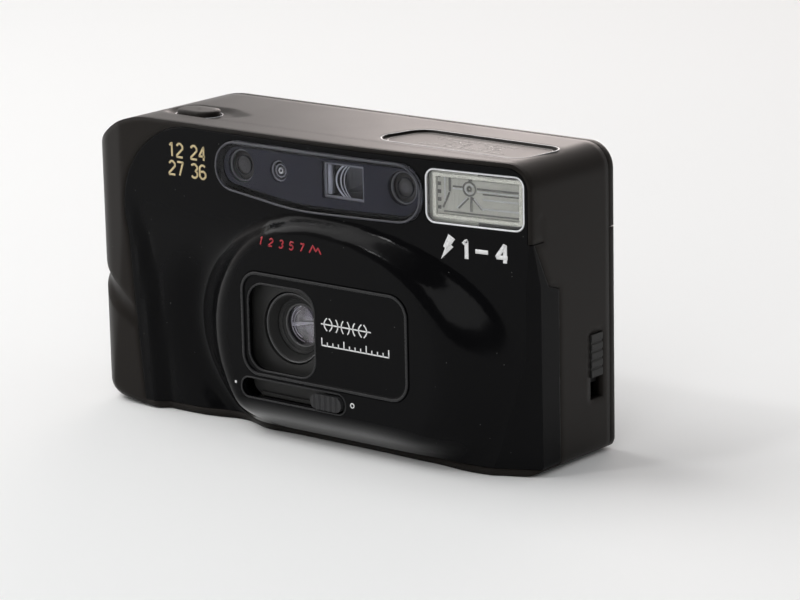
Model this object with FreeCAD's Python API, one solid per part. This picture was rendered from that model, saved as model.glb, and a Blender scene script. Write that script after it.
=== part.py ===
import FreeCAD, Part

import math
import os

# Compact film camera, millimetres. X runs along the width, to the viewer's right.
# The front faces -Y, Z is up, and the base stands on z = 0.
# The origin lies on the base, under the lens axis, in the middle of the depth.

V = FreeCAD.Vector
X_AXIS = V(1, 0, 0)
Y_AXIS = V(0, 1, 0)
Z_AXIS = V(0, 0, 1)

# Body
body_width = 130.0
body_height = 72.0
body_back = 17.0
wall = 1.8
seam_gap = 0.15
front_reach = 20.5
side_reach = 15.0
pod_reach = 24.0
base_reach = 17.0
back_edge_radius = 1.5
front_corner_radius = 9.0
top_right_radius = 6.0
bottom_right_radius = 3.0
bottom_left_radius = 5.0
shoulder_width = 22.0
shoulder_drop = 17.0

# Film path
film_plane = 13.0
gate_width = 36.0
gate_height = 24.0
film_width = 35.0
lens_height = 27.0
cassette_x = 37.0
cassette_depth = 2.2
cassette_room_radius = 13.0
take_up_x = -33.5
take_up_room_radius = 11.2
room_wall = 1.2
floor_bottom = 4.1
floor_top = 5.3
film_room_top = body_height - 23.5
cassette_room_top = body_height - 18.1
moving_gap = 0.3
shaft_gap = 0.05

# Seams between the shells
cover_back = -10.6
cover_left_back = -15.6
cover_left_end = -45.2
cover_top_back = -13.0
cover_top_back_from = body_width / 2 - 5.0
cover_base = 1.75
cover_top = body_height - 1.1
cover_side_back = -5.0
skirt_wall = 1.3
rear_seam = 14.3
door_top = body_height - 19.3
hinge_x = -46.8
hinge_depth = 15.3
hinge_radius = 1.7
pin_radius = 0.6

half_width = body_width / 2


def box(x0, x1, y0, y1, z0, z1):
    return Part.makeBox(x1 - x0, y1 - y0, z1 - z0, V(x0, y0, z0))


def rod(x, y, z, radius, length, axis=Z_AXIS):
    return Part.makeCylinder(radius, length, V(x, y, z), axis)


def union(shapes):
    first = shapes[0]
    return first.fuse(shapes[1:]).removeSplitter() if len(shapes) > 1 else first


def rounded(corners):
    """Closed outline through corners (u, v, radius): straight runs with tangent arcs."""
    edges = []
    ends = []
    count = len(corners)
    for i, (u, v, radius) in enumerate(corners):
        here = V(u, v, 0)
        before = (V(*corners[i - 1][:2], 0) - here).normalize()
        after = (V(*corners[(i + 1) % count][:2], 0) - here).normalize()
        half = before.getAngle(after) / 2
        cut = radius / math.tan(half)
        middle = here + (before + after).normalize() * (radius / math.sin(half) - radius)
        ends.append((here + before * cut, middle, here + after * cut, radius))
    for i, (start, middle, end, radius) in enumerate(ends):
        if radius > 0:
            edges.append(Part.Arc(start, middle, end).toShape())
        following = ends[(i + 1) % count][0]
        if end.distanceToPoint(following) > 1e-6:
            edges.append(Part.LineSegment(end, following).toShape())
    return Part.Wire(edges)


def rectangle(u0, u1, v0, v1, radius):
    return rounded([(u0, v0, radius), (u1, v0, radius), (u1, v1, radius), (u0, v1, radius)])


def front_face(outline, y, inset=0.0):
    """An outline drawn in x and z, stood up facing the front at depth y."""
    face = Part.Face(outline)
    if inset:
        face = face.makeOffset2D(-inset)
    face.rotate(V(0, 0, 0), X_AXIS, 90)
    face.translate(V(0, y, 0))
    return face


def front_prism(outline, y0, y1, inset=0.0):
    return front_face(outline, y0, inset).extrude(V(0, y1 - y0, 0))


def plan_prism(outline, z0, z1, inset=0.0):
    face = Part.Face(outline)
    if inset:
        face = face.makeOffset2D(-inset)
    face.translate(V(0, 0, z0))
    return face.extrude(V(0, 0, z1 - z0))


def turned(points, place, axis=Z_AXIS):
    """Solid of revolution from (radius, height) points, its axis leading from place."""
    wire = Part.makePolygon([V(r, 0, h) for r, h in points + points[:1]])
    solid = Part.Face(wire).revolve(V(0, 0, 0), Z_AXIS, 360)
    if axis != Z_AXIS:
        solid.rotate(V(0, 0, 0), Z_AXIS.cross(axis), math.degrees(Z_AXIS.getAngle(axis)))
    solid.translate(place)
    return solid


def ramp(value, start, end):
    """Smooth step from 0 at start to 1 at end."""
    t = min(1.0, max(0.0, (value - start) / (end - start)))
    return t ** 3 * (10.0 - 15.0 * t + 6.0 * t * t)


# Sculpted front: how far each point of it reaches forward of y = 0

lean_height = 50.0
lean_depth = 2.0
pod_x = 8.0
pod_z = 24.0
pod_left = 41.0
pod_right = 58.0
pod_up = 31.0
pod_down = 33.0
flank_left = 0.61
flank_right = 0.58
flank_up = 0.86
flank_down = 0.78
valley_depth = 2.4
valley_width = 0.13
recess_depth = 2.0
recess_side = 2.8
crease_low_x = -43.3
crease_run = 4.8
crease_low_z = 4.8
crease_height = 47.6
chin_low = -2.0
chin_high = 8.6
chin_reach = 16.0
chin_drop = 2.0


def plan_reach(x):
    """The front in plan: straight to the left of the lens, falling as a parabola to the right."""
    return front_reach - (front_reach - side_reach) * (max(x, 0.0) / half_width) ** 2


def crease_x(z):
    return crease_low_x - crease_run * (max(z - crease_low_z, 0.0) / crease_height) ** 2


def pod_oval(x, z):
    """Where a point lies on the lens pod's oval: how far out, 1 at its foot, and where the flank starts."""
    across = (x - pod_x) / (pod_left if x < pod_x else pod_right)
    along = (z - pod_z) / (pod_up if z > pod_z else pod_down)
    out = math.hypot(across, along)
    sideways = (across / out) ** 2 if out else 0.0
    side_start = flank_left if x < pod_x else flank_right
    level_start = flank_up if z > pod_z else flank_down
    return out, sideways * side_start + (1.0 - sideways) * level_start


def reach(x, z):
    """How far forward the front stands at x, z."""
    out, flank_start = pod_oval(x, z)
    pod = 1.0 - ramp(out, flank_start, 1.0)
    left = 1.0 - ramp(x, -22.0, 0.0)
    lean = lean_depth * (max(lean_height - z, 0.0) / lean_height) ** 1.5
    recess = recess_depth * ramp(x, crease_x(z) - recess_side, crease_x(z)) * (1.0 - ramp(z, 30.0, 57.0))
    valley = valley_depth * math.exp(-((out - 1.03) / valley_width) ** 2) * (1.0 - ramp(z, 28.0, 54.0))
    chin = ramp(z, chin_low, chin_high)
    drop = chin_drop * (1.0 - chin) * (1.0 - left) * (1.0 - ramp(x, 35.0, 52.0))
    low = plan_reach(x) - left * (lean + recess + valley * (1.0 - ramp(x, -16.0, -6.0))) - drop
    return low + (chin_reach + (pod_reach - chin_reach) * chin - low) * pod


def stations(start, end, step):
    count = round((end - start) / step)
    return [start + (end - start) * i / count for i in range(count + 1)]


def sculpted(offset, step, spread):
    """All that lies behind the sculpted front, moved back by offset.

    Each point takes the lowest reach within spread of it, so that the wall never gets thin.
    """
    shifts = [(0, 0), (-spread, 0), (spread, 0), (0, -spread), (0, spread)] if spread else [(0, 0)]
    grid = [[V(x, offset - min(reach(x + a, z + b) for a, b in shifts), z)
             for z in stations(-6.0, body_height + 6, step)]
            for x in stations(-half_width - 7, half_width + 7, step)]
    surface = Part.BSplineSurface()
    surface.interpolate(grid)
    return surface.toShape().extrude(V(0, 80, 0))


# Body blank, and the shells cut from it

def body_outline():
    """Front view of the body: an oval shoulder at the top left, made of two arcs."""
    left = -half_width
    lean = shoulder_drop / shoulder_width
    mid_x = left + shoulder_width * (1 - math.sqrt(0.5))
    mid_z = body_height - shoulder_drop * (1 - math.sqrt(0.5))
    low_z = mid_z - lean * (mid_x - left)
    high_x = mid_x + (body_height - mid_z) / lean
    slope = math.atan(lean)
    chord = math.hypot(high_x - left, body_height - low_z) / 2
    low_cut = low_z - (body_height - shoulder_drop)
    return rounded([
        (left, 0, 0),
        (half_width, 0, bottom_right_radius),
        (half_width, body_height, top_right_radius),
        (high_x, body_height, chord * 0.98 / math.tan(slope / 2)),
        (left, low_z, low_cut / math.tan((math.pi / 2 - slope) / 2)),
    ])


def plan_outline():
    """Plan of the body: a round corner at the left front, and open at the sculpted front."""
    left = -half_width
    return rounded([
        (left, body_back + 1, 0),
        (left, -base_reach - 0.6, front_corner_radius),
        (left + 20, -front_reach - 2.0, 4.0),
        (left + 28, -40, 1),
        (half_width + 1, -40, 1),
        (half_width + 1, body_back + 1, 0),
    ])


def scoop_cutter(inset=0.0):
    """The hollow facet at the lower right front corner, as a loft of triangles up its height."""
    levels = [(-1.0, 11.5, 11.3), (4.7, 9.0, 11.6), (17.6, 4.0, 11.7),
              (28.0, 1.6, 11.7), (44.0, 1.5, 11.8), (55.0, 0.4, 14.8)]
    wires = []
    for z, from_end, side in levels:
        x = half_width - from_end
        near = V(x, -plan_reach(x) - 0.02, z)
        edge = V(half_width, -side, z)
        run = edge - near
        far = near - run * 0.6
        past = edge + run * 1.5
        corner = V(past.x, far.y - 6, z)
        wires.append(Part.makePolygon([far, past, corner, far]))
    solid = Part.makeLoft(wires, True, True)
    solid.translate(V(-inset, inset, 0))
    return solid


def plan_block(inset):
    """The plan's outline as a block, with the round lower edge of the left end and its corner."""
    block = plan_prism(plan_outline(), inset, body_height + 5, inset)
    radius = front_corner_radius - inset
    arcs = [e for e in block.Edges if e.Curve.TypeId == "Part::GeomCircle"]
    corner = [e for e in arcs if abs(e.Curve.Radius - radius) < 0.01
              and max(v.Z for v in e.Vertexes) < inset + 0.01]
    return block.makeFillet(bottom_left_radius - inset, corner)


def blank(inset, step, spread):
    """The body's full form, inset on every side."""
    body = front_prism(body_outline(), -40, body_back - inset, inset)
    if not inset:
        back_edges = [e for e in body.Edges if min(v.Y for v in e.Vertexes) > body_back - 0.01]
        body = body.makeFillet(back_edge_radius, back_edges)
    body = body.common(plan_block(inset))
    body = body.common(sculpted(inset, step, spread))
    return body.cut(scoop_cutter(inset))


def seam_outline():
    """The front cover's edge, seen from the front."""
    right = half_width + 2
    bend = top_right_radius - (half_width - seam_right)
    diagonal = bend * (1 - math.sqrt(0.5))
    points = [V(-49.4, cover_base, 0), V(-51.3, body_height - 28.1, 0), V(-42.6, body_height - 4.8, 0),
              V(-30.5, cover_top, 0),
              V(seam_right - bend, cover_top, 0), V(seam_right, cover_top - bend, 0),
              V(seam_right, side_seam_top, 0), V(right, side_seam_top, 0), V(right, cover_base, 0)]
    middles = {1: V(-50.3, body_height - 13.4, 0), 2: V(-37.0, body_height - 2.0, 0),
               4: V(seam_right - diagonal, cover_top - diagonal, 0)}
    edges = []
    for i, point in enumerate(points):
        after = points[(i + 1) % len(points)]
        if i in middles:
            edges.append(Part.Arc(point, middles[i], after).toShape())
        else:
            edges.append(Part.LineSegment(point, after).toShape())
    return Part.Wire(edges)


seam_right = half_width - 1.0
side_seam_top = body_height - 18.0
side_seam_low = body_height - 29.8


def side_region(gap):
    """Where the cover wraps round the right end: the seam's outline in y and z."""
    points = [(-45, cover_base - gap), (cover_side_back + gap, cover_base - gap),
              (cover_side_back + gap, side_seam_low + gap), (-8.8 + gap, side_seam_low + 1.3 + gap),
              (-14.0 + gap, side_seam_top + gap), (-45, side_seam_top + gap)]
    wire = Part.makePolygon([V(half_width - 4 - gap, y, z) for y, z in points + points[:1]])
    return Part.Face(wire).extrude(V(8, 0, 0))


def clear_of_rooms(cover, gap):
    """Shorten the cover beside the battery bay and under the shutter button."""
    cover = cover.cut(box(-80, cover_left_end - gap, cover_left_back + gap, 0, 0, 80))
    return cover.cut(box(-80, 80, cover_top_back + gap, 0, cover_top_back_from + gap, 80))


def cover_region(gap=0.0):
    """All that belongs to the front cover, grown by gap."""
    front = clear_of_rooms(front_prism(seam_outline(), -45, cover_back + gap, -gap), gap)
    low = box(half_width - 4 + gap, half_width + 5, -46, 0, -1, side_seam_top - gap)
    return front.cut(low).fuse(side_region(gap))


def make_body():
    outer = blank(0.0, 1.6, 0.0)
    inner = blank(wall, 4.0, 2.0)
    return outer, outer.cut(inner)


# Window strip, flash and the bent plates that follow the front

def bent_band(x0, x1, proud, depth, z0, z1):
    """A plate that follows the front in plan, from proud in front of it to depth behind that."""
    count = 7
    xs = [x0 + (x1 - x0) * i / (count - 1) for i in range(count)]
    near = [V(x, -plan_reach(x) - proud, z0) for x in xs]
    far = [V(x, -plan_reach(x) - proud + depth, z0) for x in reversed(xs)]
    front = Part.BSplineCurve()
    front.interpolate(near)
    back = Part.BSplineCurve()
    back.interpolate(far)
    edges = [front.toShape(), Part.LineSegment(near[-1], far[0]).toShape(),
             back.toShape(), Part.LineSegment(far[-1], near[0]).toShape()]
    return Part.Face(Part.Wire(edges)).extrude(V(0, 0, z1 - z0))


flash_right = half_width - 1.8
flash_left = flash_right - 25.2
flash_top = body_height - 2.8
flash_low = flash_top - 12.6
strip_left = -22.0
strip_right = flash_left - 0.4
strip_top = body_height - 2.5
strip_low = strip_top - 14.1
strip_proud = 0.9
strip_depth = 2.1
strip_ledge = 1.3


def strip_outline():
    """The window strip: flat above, round at both ends, and bowed below."""
    return rounded([
        (strip_left, strip_top, 6.2),
        (strip_left, strip_low + 2.8, 5.4),
        (2.0, strip_low - 0.3, 90.0),
        (strip_right, strip_low + 0.5, 6.4),
        (strip_right, strip_top, 6.4),
    ])


flash_corner = 2.4
flash_sunk = 0.35
flash_depth = 1.7


def flash_outline():
    return rectangle(flash_left, flash_right, flash_low, flash_top, flash_corner)


def strip_piece():
    return bent_band(strip_left - 3, strip_right + 3, strip_proud, strip_depth, 30, body_height).common(
        front_prism(strip_outline(), -30, 0))


window_height = strip_top - 5.9
sensor_x = -3.8
af_left_x = strip_left + 6.8
af_right_x = strip_right - 6.0
finder_left = 7.4
finder_right = 22.6
finder_top = body_height - 3.4
finder_low = finder_top - 11.0
finder_wall = 0.8


def strip_mask():
    """The opaque sheet behind the strip, with one aperture for each window."""
    behind = strip_proud - strip_depth - 0.02
    sheet = bent_band(strip_left - 3, strip_right + 3, behind, 0.6, 30, body_height)
    sheet = sheet.common(front_prism(strip_outline(), -30, 0, strip_ledge + 0.2))
    for x, radius in ((af_left_x, 4.0), (sensor_x, 2.6), (af_right_x, 4.0)):
        sheet = sheet.cut(rod(x, -30, window_height, radius, 30, Y_AXIS))
    return sheet.cut(box(finder_left + 1.6, finder_right - 1.6, -30, 0, finder_low + 1.4, finder_top - 1.2))


# Lens pod openings

lens_left = -10.7
lens_right = 9.2
lens_low = 16.7
lens_top = 37.3
trim_left = -12.8
trim_right = 36.8
trim_low = 15.2
trim_top = 40.2
trim_depth = 1.0
trim_proud = 0.25
slot_left = -13.4
slot_right = 17.9
slot_low = 9.7
slot_top = 14.3
pod_wall = 1.8
blade_plane = -21.9
blade_thick = 0.8


def trim_outline():
    return rectangle(trim_left, trim_right, trim_low, trim_top, 5.0)


def lens_window():
    return rectangle(lens_left, lens_right, lens_low, lens_top, 4.6)


def slot_outline():
    return rectangle(slot_left, slot_right, slot_low, slot_top, 2.2)


def front_cover(shell, outer):
    region = cover_region()
    cover = shell.common(region)
    skirt = front_prism(seam_outline(), -30, cover_back).cut(
        front_prism(seam_outline(), -31, cover_back + 1, skirt_wall))
    skirt = clear_of_rooms(skirt, 0.0)
    skirt = skirt.cut(box(half_width - 4, half_width + 5, -46, 0, 0, side_seam_top + 2 * seam_gap))
    cover = cover.fuse(skirt.common(outer))
    pod_back = -pod_reach + pod_wall
    cover = cover.cut(front_prism(trim_outline(), -30, -pod_reach + trim_depth, -seam_gap))
    cover = cover.cut(front_prism(lens_window(), -30, pod_back + 3, -0.6))
    cover = cover.cut(front_prism(slot_outline(), -30, pod_back + 3))
    seat = bent_band(strip_left - 3, strip_right + 3, strip_proud + 8, 8 + strip_depth + 0.02, 30, 90)
    cover = cover.cut(seat.common(front_prism(strip_outline(), -40, 0, -seam_gap)))
    cover = cover.cut(front_prism(strip_outline(), -40, cover_back, strip_ledge))
    seat = bent_band(flash_left - 3, flash_right + 3, 8, 8.02 + flash_sunk + flash_depth, 30, 90)
    cover = cover.cut(seat.common(front_prism(flash_outline(), -40, 0, -seam_gap)))
    return cover.cut(front_prism(flash_outline(), -40, -8, 1.0))


def lens_trim_plate():
    """The bezel round the lens opening, let into the pod, with a raised rim."""
    front = -pod_reach - trim_proud
    plate = front_prism(trim_outline(), front, -pod_reach + trim_depth - 0.02)
    plate = plate.cut(front_prism(trim_outline(), front - 1, front + 0.35, 0.9))
    return plate.cut(front_prism(lens_window(), front - 1, -pod_reach + 4))


# Lens barrier

knob_left = 8.2
knob_right = 17.4
knob_low = 10.2
knob_top = 13.8
guide_plane = -20.8
guide_depth = 0.8
guide_left = -12.4
guide_right = 32.6
guide_low = 9.8
guide_top = 39.5
guide_corner = 3.0
rail_depth = 0.85
ring_radius = 8.4


def barrier_blade():
    plate = front_prism(rectangle(9.8, 31.4, 15.6, 38.4, 1.5), blade_plane, blade_plane + blade_thick)
    arm = box(knob_left + 1.5, 20.5, blade_plane, blade_plane + blade_thick, 11.0, 17.0)
    return union([plate, arm])


def barrier_knob():
    """Ribbed oval slide, with its neck through the slot down to the blade."""
    middle = (knob_left + knob_right) / 2
    height = (knob_low + knob_top) / 2
    outline = rectangle(knob_left, knob_right, knob_low, knob_top, 1.75)
    cap = front_prism(outline, -pod_reach - 0.9, -pod_reach + 0.5)
    for i in range(-2, 3):
        cap = cap.cut(rod(middle + i * 1.6, -pod_reach - 1.1, knob_low - 1, 0.45, 6))
    neck = box(middle - 2.5, middle + 2.5, -pod_reach + 0.4, blade_plane, height - 1.2, height + 1.2)
    return union([cap, neck])


def barrier_guide():
    """Plate behind the blade, with the rails that it runs between."""
    back = guide_plane + guide_depth
    outline = rectangle(guide_left, guide_right, guide_low, guide_top, guide_corner)
    plate = front_prism(outline, guide_plane, back)
    rail_front = guide_plane - rail_depth
    rail_left = guide_left + guide_corner
    rail_right = guide_right - 2 * guide_corner
    low = box(rail_left, rail_right, rail_front, back, guide_low, guide_low + 0.9)
    high = box(rail_left, rail_right, rail_front, back, guide_top - 0.8, guide_top)
    frame = union([plate, low, high])
    return frame.cut(rod(0, -30, lens_height, ring_radius + 0.3, 20, Y_AXIS))


# Lens and shutter

cell_radius = 6.7
glass_radius = 5.2
rear_glass_radius = 4.6
housing_front = -12.6
housing_back = -6.8
housing_radius = 14.0
aperture_radius = 3.6
blade_sheet = 0.2
blade_pivot_side = 6.6
blade_pivot_drop = 8.6
blade_pivot_radius = 0.7


def lens_ring():
    """Conical hood ring in front, and the sleeve that the focus cell runs in."""
    bore = cell_radius + shaft_gap
    profile = [(bore, 0), (bore, 5.6), (7.7, 7.6), (ring_radius, 7.6), (ring_radius, 0)]
    return turned(profile, V(0, housing_front - 0.02, lens_height), -Y_AXIS)


def focus_cell():
    """Moving cell with a stepped hood down to the front glass."""
    profile = [(glass_radius - 0.6, 0.6), (glass_radius - 0.6, 1.2), (4.2, 1.2), (4.2, 2.6),
               (glass_radius + 0.02, 2.6), (glass_radius + 0.02, 4.4), (cell_radius - 0.4, 5.4),
               (cell_radius, 5.4), (cell_radius, 0.6)]
    return turned(profile, V(0, housing_front, lens_height), -Y_AXIS)


def glass(radius, edge, front_bulge, back_bulge, y):
    """Lens element behind y: a disc with spherical faces, which bulge out by the amounts given."""
    axis_front = V(0, 0, edge + front_bulge)
    axis_back = V(0, 0, -back_bulge)
    rim_front = V(radius, 0, edge)
    rim_back = V(radius, 0, 0)
    edges = [Part.LineSegment(axis_back, axis_front).toShape()]
    for axis_point, rim, height, bulge in ((axis_front, rim_front, edge, front_bulge),
                                           (axis_back, rim_back, 0.0, -back_bulge)):
        if abs(bulge) < 1e-9:
            edges.append(Part.LineSegment(axis_point, rim).toShape())
            continue
        ball = (radius ** 2 + bulge ** 2) / (2 * bulge)
        angle = math.asin(radius / abs(ball)) / 2
        middle = V(abs(ball) * math.sin(angle), 0, height + bulge - ball + ball * math.cos(angle))
        edges.append(Part.Arc(axis_point, middle, rim).toShape())
    edges.append(Part.LineSegment(rim_front, rim_back).toShape())
    wire = Part.Wire(Part.__sortEdges__(edges))
    solid = Part.Face(wire).revolve(V(0, 0, 0), Z_AXIS, 360)
    solid.rotate(V(0, 0, 0), X_AXIS, 90)
    solid.translate(V(0, y, lens_height))
    return solid


def front_element():
    return glass(glass_radius, 1.3, 0.9, 0.0, housing_front - 2.62)


def middle_element():
    return glass(4.15, 1.0, -0.4, -0.35, housing_front - 1.3)


def rear_element():
    return glass(rear_glass_radius, 1.6, 0.3, 0.9, -8.0)


def blade_pivot(side):
    return side * blade_pivot_side, lens_height - blade_pivot_drop


def shutter_housing():
    """Drum with a front wall, a room with the blades' two pivots, and a seat for the rear glass."""
    drum = rod(0, housing_front, lens_height, housing_radius, housing_back - housing_front, Y_AXIS)
    room = rod(0, housing_front + 0.8, lens_height, housing_radius - 1.0, 2.0, Y_AXIS)
    front_hole = rod(0, housing_front - 1, lens_height, aperture_radius + 0.8, 2.5, Y_AXIS)
    back_hole = rod(0, housing_front + 2, lens_height, aperture_radius + 0.4, 6, Y_AXIS)
    seat = rod(0, -9.95, lens_height, rear_glass_radius + 0.03, 4, Y_AXIS)
    drum = drum.cut(union([room, front_hole, back_hole])).cut(seat)
    pivots = []
    for side in (-1, 1):
        x, z = blade_pivot(side)
        pivots.append(rod(x, housing_front + 0.5, z, blade_pivot_radius, 2.5, Y_AXIS))
    return union([drum] + pivots)


def shutter_blade(side, layer):
    """Thin blade that swings on a low pivot and covers its half of the aperture and a little more."""
    corners = [(8.1, -10.0, 1.2), (5.1, -10.1, 1.2), (-0.6, -4.2, 0.5), (-0.6, 4.3, 0.8),
               (3.2, 4.0, 1.2), (4.9, 0.5, 2.0), (8.1, -7.6, 1.2)]
    outline = rounded([(side * out, lens_height + up, radius) for out, up, radius in corners])
    blade = front_prism(outline, layer, layer + blade_sheet)
    x, z = blade_pivot(side)
    return blade.cut(rod(x, layer - 1, z, blade_pivot_radius + shaft_gap, 3, Y_AXIS))


# Chassis

bay_left = -61.9
bay_right = -47.05
bay_front = -14.1
bay_back = 13.9
bay_wall = 1.15
bay_radius = 7.2
bay_top = body_height - 16.2
bay_low = 4.4


def film_room(x, radius, top):
    """Outer and inner form of a round room that opens to the back."""
    back = film_plane - 0.3
    outer_radius = radius + room_wall
    outer = rod(x, cassette_depth, floor_bottom, outer_radius, top + room_wall - floor_bottom)
    outer = outer.common(box(x - 20, x + 20, -20, cassette_depth, 0, 80)).fuse(
        box(x - outer_radius, x + outer_radius, cassette_depth, back, floor_bottom, top + room_wall))
    inner = rod(x, cassette_depth, floor_top, radius, top - floor_top).common(
        box(x - 20, x + 20, -20, cassette_depth, 0, 80)).fuse(
        box(x - radius, x + radius, cassette_depth, back + 5, floor_top, top))
    return outer, inner


def frustum(grow, y0, y1):
    """Pyramid stump of the light tunnel, from the lens side to the film gate."""
    wires = []
    for y, width, height in ((y0, 19.6, 15.6), (y1, gate_width, gate_height)):
        wires.append(front_face(rectangle(-width / 2 - grow, width / 2 + grow,
                                          lens_height - height / 2 - grow,
                                          lens_height + height / 2 + grow, 0.4), y).OuterWire)
    return Part.makeLoft(wires, True, True)


def battery_bay():
    outline = rectangle(bay_left, bay_right, bay_front, bay_back, bay_radius)
    outer = plan_prism(outline, bay_low, bay_top + 1.0, -bay_wall)
    return outer, plan_prism(outline, bay_low - 1, bay_top)


module_size = 0.8
spool_teeth = 22
idler_teeth = 14
fork_teeth = 16
idler_count = 5
gear_low = 2.2
gear_thick = 1.6
gear_pin_radius = 0.8
hub_radius = 3.0
sprocket_x = -15.0
sprocket_depth = 7.0
sprocket_low = film_room_top - 7.6
counter_x = -24.0
counter_depth = 8.0
counter_drum_low = film_room_top + 9.5
board_low = film_room_top + 7.5
board_thick = 1.0
switch_top = board_low + board_thick + 2.6
spring_low = switch_top + 0.9


def gear_centres():
    """Centres of the train from take-up to fork: chords of one arc that bows to the back."""
    radii = [spool_teeth] + [idler_teeth] * idler_count + [fork_teeth]
    steps = [(a + b) * module_size / 2 for a, b in zip(radii, radii[1:])]
    span = cassette_x - take_up_x
    low, high = span / 2, span * 40
    for _ in range(80):
        ring = (low + high) / 2
        angle = sum(2 * math.asin(s / (2 * ring)) for s in steps)
        low, high = (low, ring) if 2 * ring * math.sin(angle / 2) > span else (ring, high)
    centre_x = (cassette_x + take_up_x) / 2
    centre_y = cassette_depth - ring * math.cos(angle / 2)
    at = -angle / 2
    places = [(take_up_x, cassette_depth)]
    for step in steps:
        at += 2 * math.asin(step / (2 * ring))
        places.append((centre_x + ring * math.sin(at), centre_y + ring * math.cos(at)))
    return places


def chassis():
    take_outer, take_inner = film_room(take_up_x, take_up_room_radius, film_room_top)
    cass_outer, cass_inner = film_room(cassette_x, cassette_room_radius, cassette_room_top)
    bay_outer, bay_inner = battery_bay()
    gate_left = take_up_x + take_up_room_radius
    gate_right = cassette_x - cassette_room_radius
    gate = box(gate_left, gate_right, film_plane - 3.4, film_plane - 0.3,
               floor_bottom, film_room_top + room_wall)
    rails = [box(-gate_width / 2 - 3, gate_width / 2 + 3, film_plane - 0.4, film_plane, z, z + 1.2)
             for z in (lens_height - film_width / 2 + 1.6, lens_height + film_width / 2 - 2.8)]
    tunnel = frustum(1.1, housing_back + 1.2, film_plane - 3.4)
    flange = rod(0, housing_back + 0.02, lens_height, housing_radius, 1.4, Y_AXIS)
    shelf = box(capacitor_x - 7.0, half_width - wall - 0.4, -6.0, film_plane - 1.0, floor_bottom, floor_top)
    socket_post = rod(socket_x, socket_depth, floor_bottom, 6.0, 8.0)
    socket_web = box(socket_x - 1.2, socket_x + 1.2, socket_depth, film_plane - 2, floor_bottom + 1.0, 12.0)
    sprocket_shelf = box(sprocket_x - 4, sprocket_x + 4, sprocket_depth - 4, film_plane - 2,
                         sprocket_low + 5.7, sprocket_low + 6.9)
    counter_pin = rod(counter_x, counter_depth, film_room_top, 0.9, 12.0)
    solid = union([take_outer, cass_outer, bay_outer, gate, tunnel, flange, shelf, socket_post,
                   socket_web, sprocket_shelf, counter_pin] + rails)
    solid = solid.cut(take_inner).cut(cass_inner).cut(bay_inner)
    solid = solid.cut(frustum(0.0, housing_back + 1.2, film_plane + 0.5))
    solid = solid.cut(rod(0, housing_back - 1, lens_height, 6.4, 4, Y_AXIS))
    for x, radius in ((take_up_x, hub_radius), (cassette_x, hub_radius)):
        solid = solid.cut(rod(x, cassette_depth, 0, radius + shaft_gap, floor_top + 1))
    solid = solid.cut(rod(take_up_x, cassette_depth, film_room_top - 1, motor_radius + 0.02, 4))
    solid = solid.cut(rod(socket_x, socket_depth, 0, socket_radius + 0.02, socket_length))
    window = box(sprocket_x - 6.8, sprocket_x + 6.8, film_plane - 4, film_plane + 1,
                 sprocket_low - 0.4, sprocket_low + 3.7)
    solid = solid.cut(window)
    solid = solid.cut(rod(sprocket_x, sprocket_depth, sprocket_low - 0.9, 1.2 + shaft_gap, 12))
    pins = [rod(x, y, gear_low - 0.3, gear_pin_radius, floor_bottom + 0.6 - gear_low)
            for x, y in gear_centres()[1:-1]]
    strips = [box(x - 3, x + 3, y - 3, film_plane - 2, floor_bottom, floor_top)
              for x, y in gear_centres()[1:-1]]
    return union([solid] + strips).fuse(pins).removeSplitter()


# Film transport

motor_radius = 6.2
spool_outer = 8.2
spool_inner = 7.0


def gear(x, y, teeth, bore, low, thick, phase):
    """Spur gear with tapered teeth; phase turns the first tooth from +X, in degrees."""
    pitch = teeth * module_size / 2
    root = pitch - 1.1 * module_size
    tip = pitch + 0.85 * module_size
    share = 360.0 / teeth
    points = []
    for i in range(teeth):
        for radius, offset in ((root, -0.36), (pitch, -0.21), (tip, -0.10),
                               (tip, 0.10), (pitch, 0.21), (root, 0.36)):
            angle = math.radians(phase + share * (i + offset))
            points.append(V(x + radius * math.cos(angle), y + radius * math.sin(angle), low))
    solid = Part.Face(Part.makePolygon(points + points[:1])).extrude(V(0, 0, thick))
    return solid.cut(rod(x, y, low - 1, bore, thick + 2))


def gear_phases():
    """Turn of each gear in the train, so that a tooth meets a gap at every mesh."""
    centres = gear_centres()
    counts = [spool_teeth] + [idler_teeth] * idler_count + [fork_teeth]
    phases = [0.0]
    for i in range(1, len(centres)):
        (x0, y0), (x1, y1) = centres[i - 1], centres[i]
        ahead = math.degrees(math.atan2(y1 - y0, x1 - x0))
        turn = ((ahead - phases[-1]) / 360.0 * counts[i - 1]) % 1.0
        phases.append(ahead + 180.0 + (turn + 0.5) * 360.0 / counts[i])
    return phases


def take_up_gear():
    return gear(take_up_x, cassette_depth, spool_teeth, hub_radius, gear_low, gear_thick, gear_phases()[0])


def take_up_spool():
    """Hollow spool with film claws; the motor stands inside it."""
    profile = [(0, gear_low), (hub_radius - 0.02, gear_low), (hub_radius - 0.02, floor_top + moving_gap),
               (spool_outer, floor_top + moving_gap), (spool_outer, film_room_top - 0.6),
               (spool_inner, film_room_top - 0.6), (spool_inner, floor_top + 1.5), (0, floor_top + 1.5)]
    solid = turned(profile, V(take_up_x, cassette_depth, 0))
    claws = []
    for z in (lens_height - 16.0, lens_height + 14.6):
        for i in range(3):
            claw = box(spool_outer - 0.5, spool_outer + 0.9, -0.6, 0.6, z, z + 1.4)
            claw.rotate(V(0, 0, 0), Z_AXIS, 20 + 120 * i)
            claw.translate(V(take_up_x, cassette_depth, 0))
            claws.append(claw)
    return union([solid] + claws)


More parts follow.
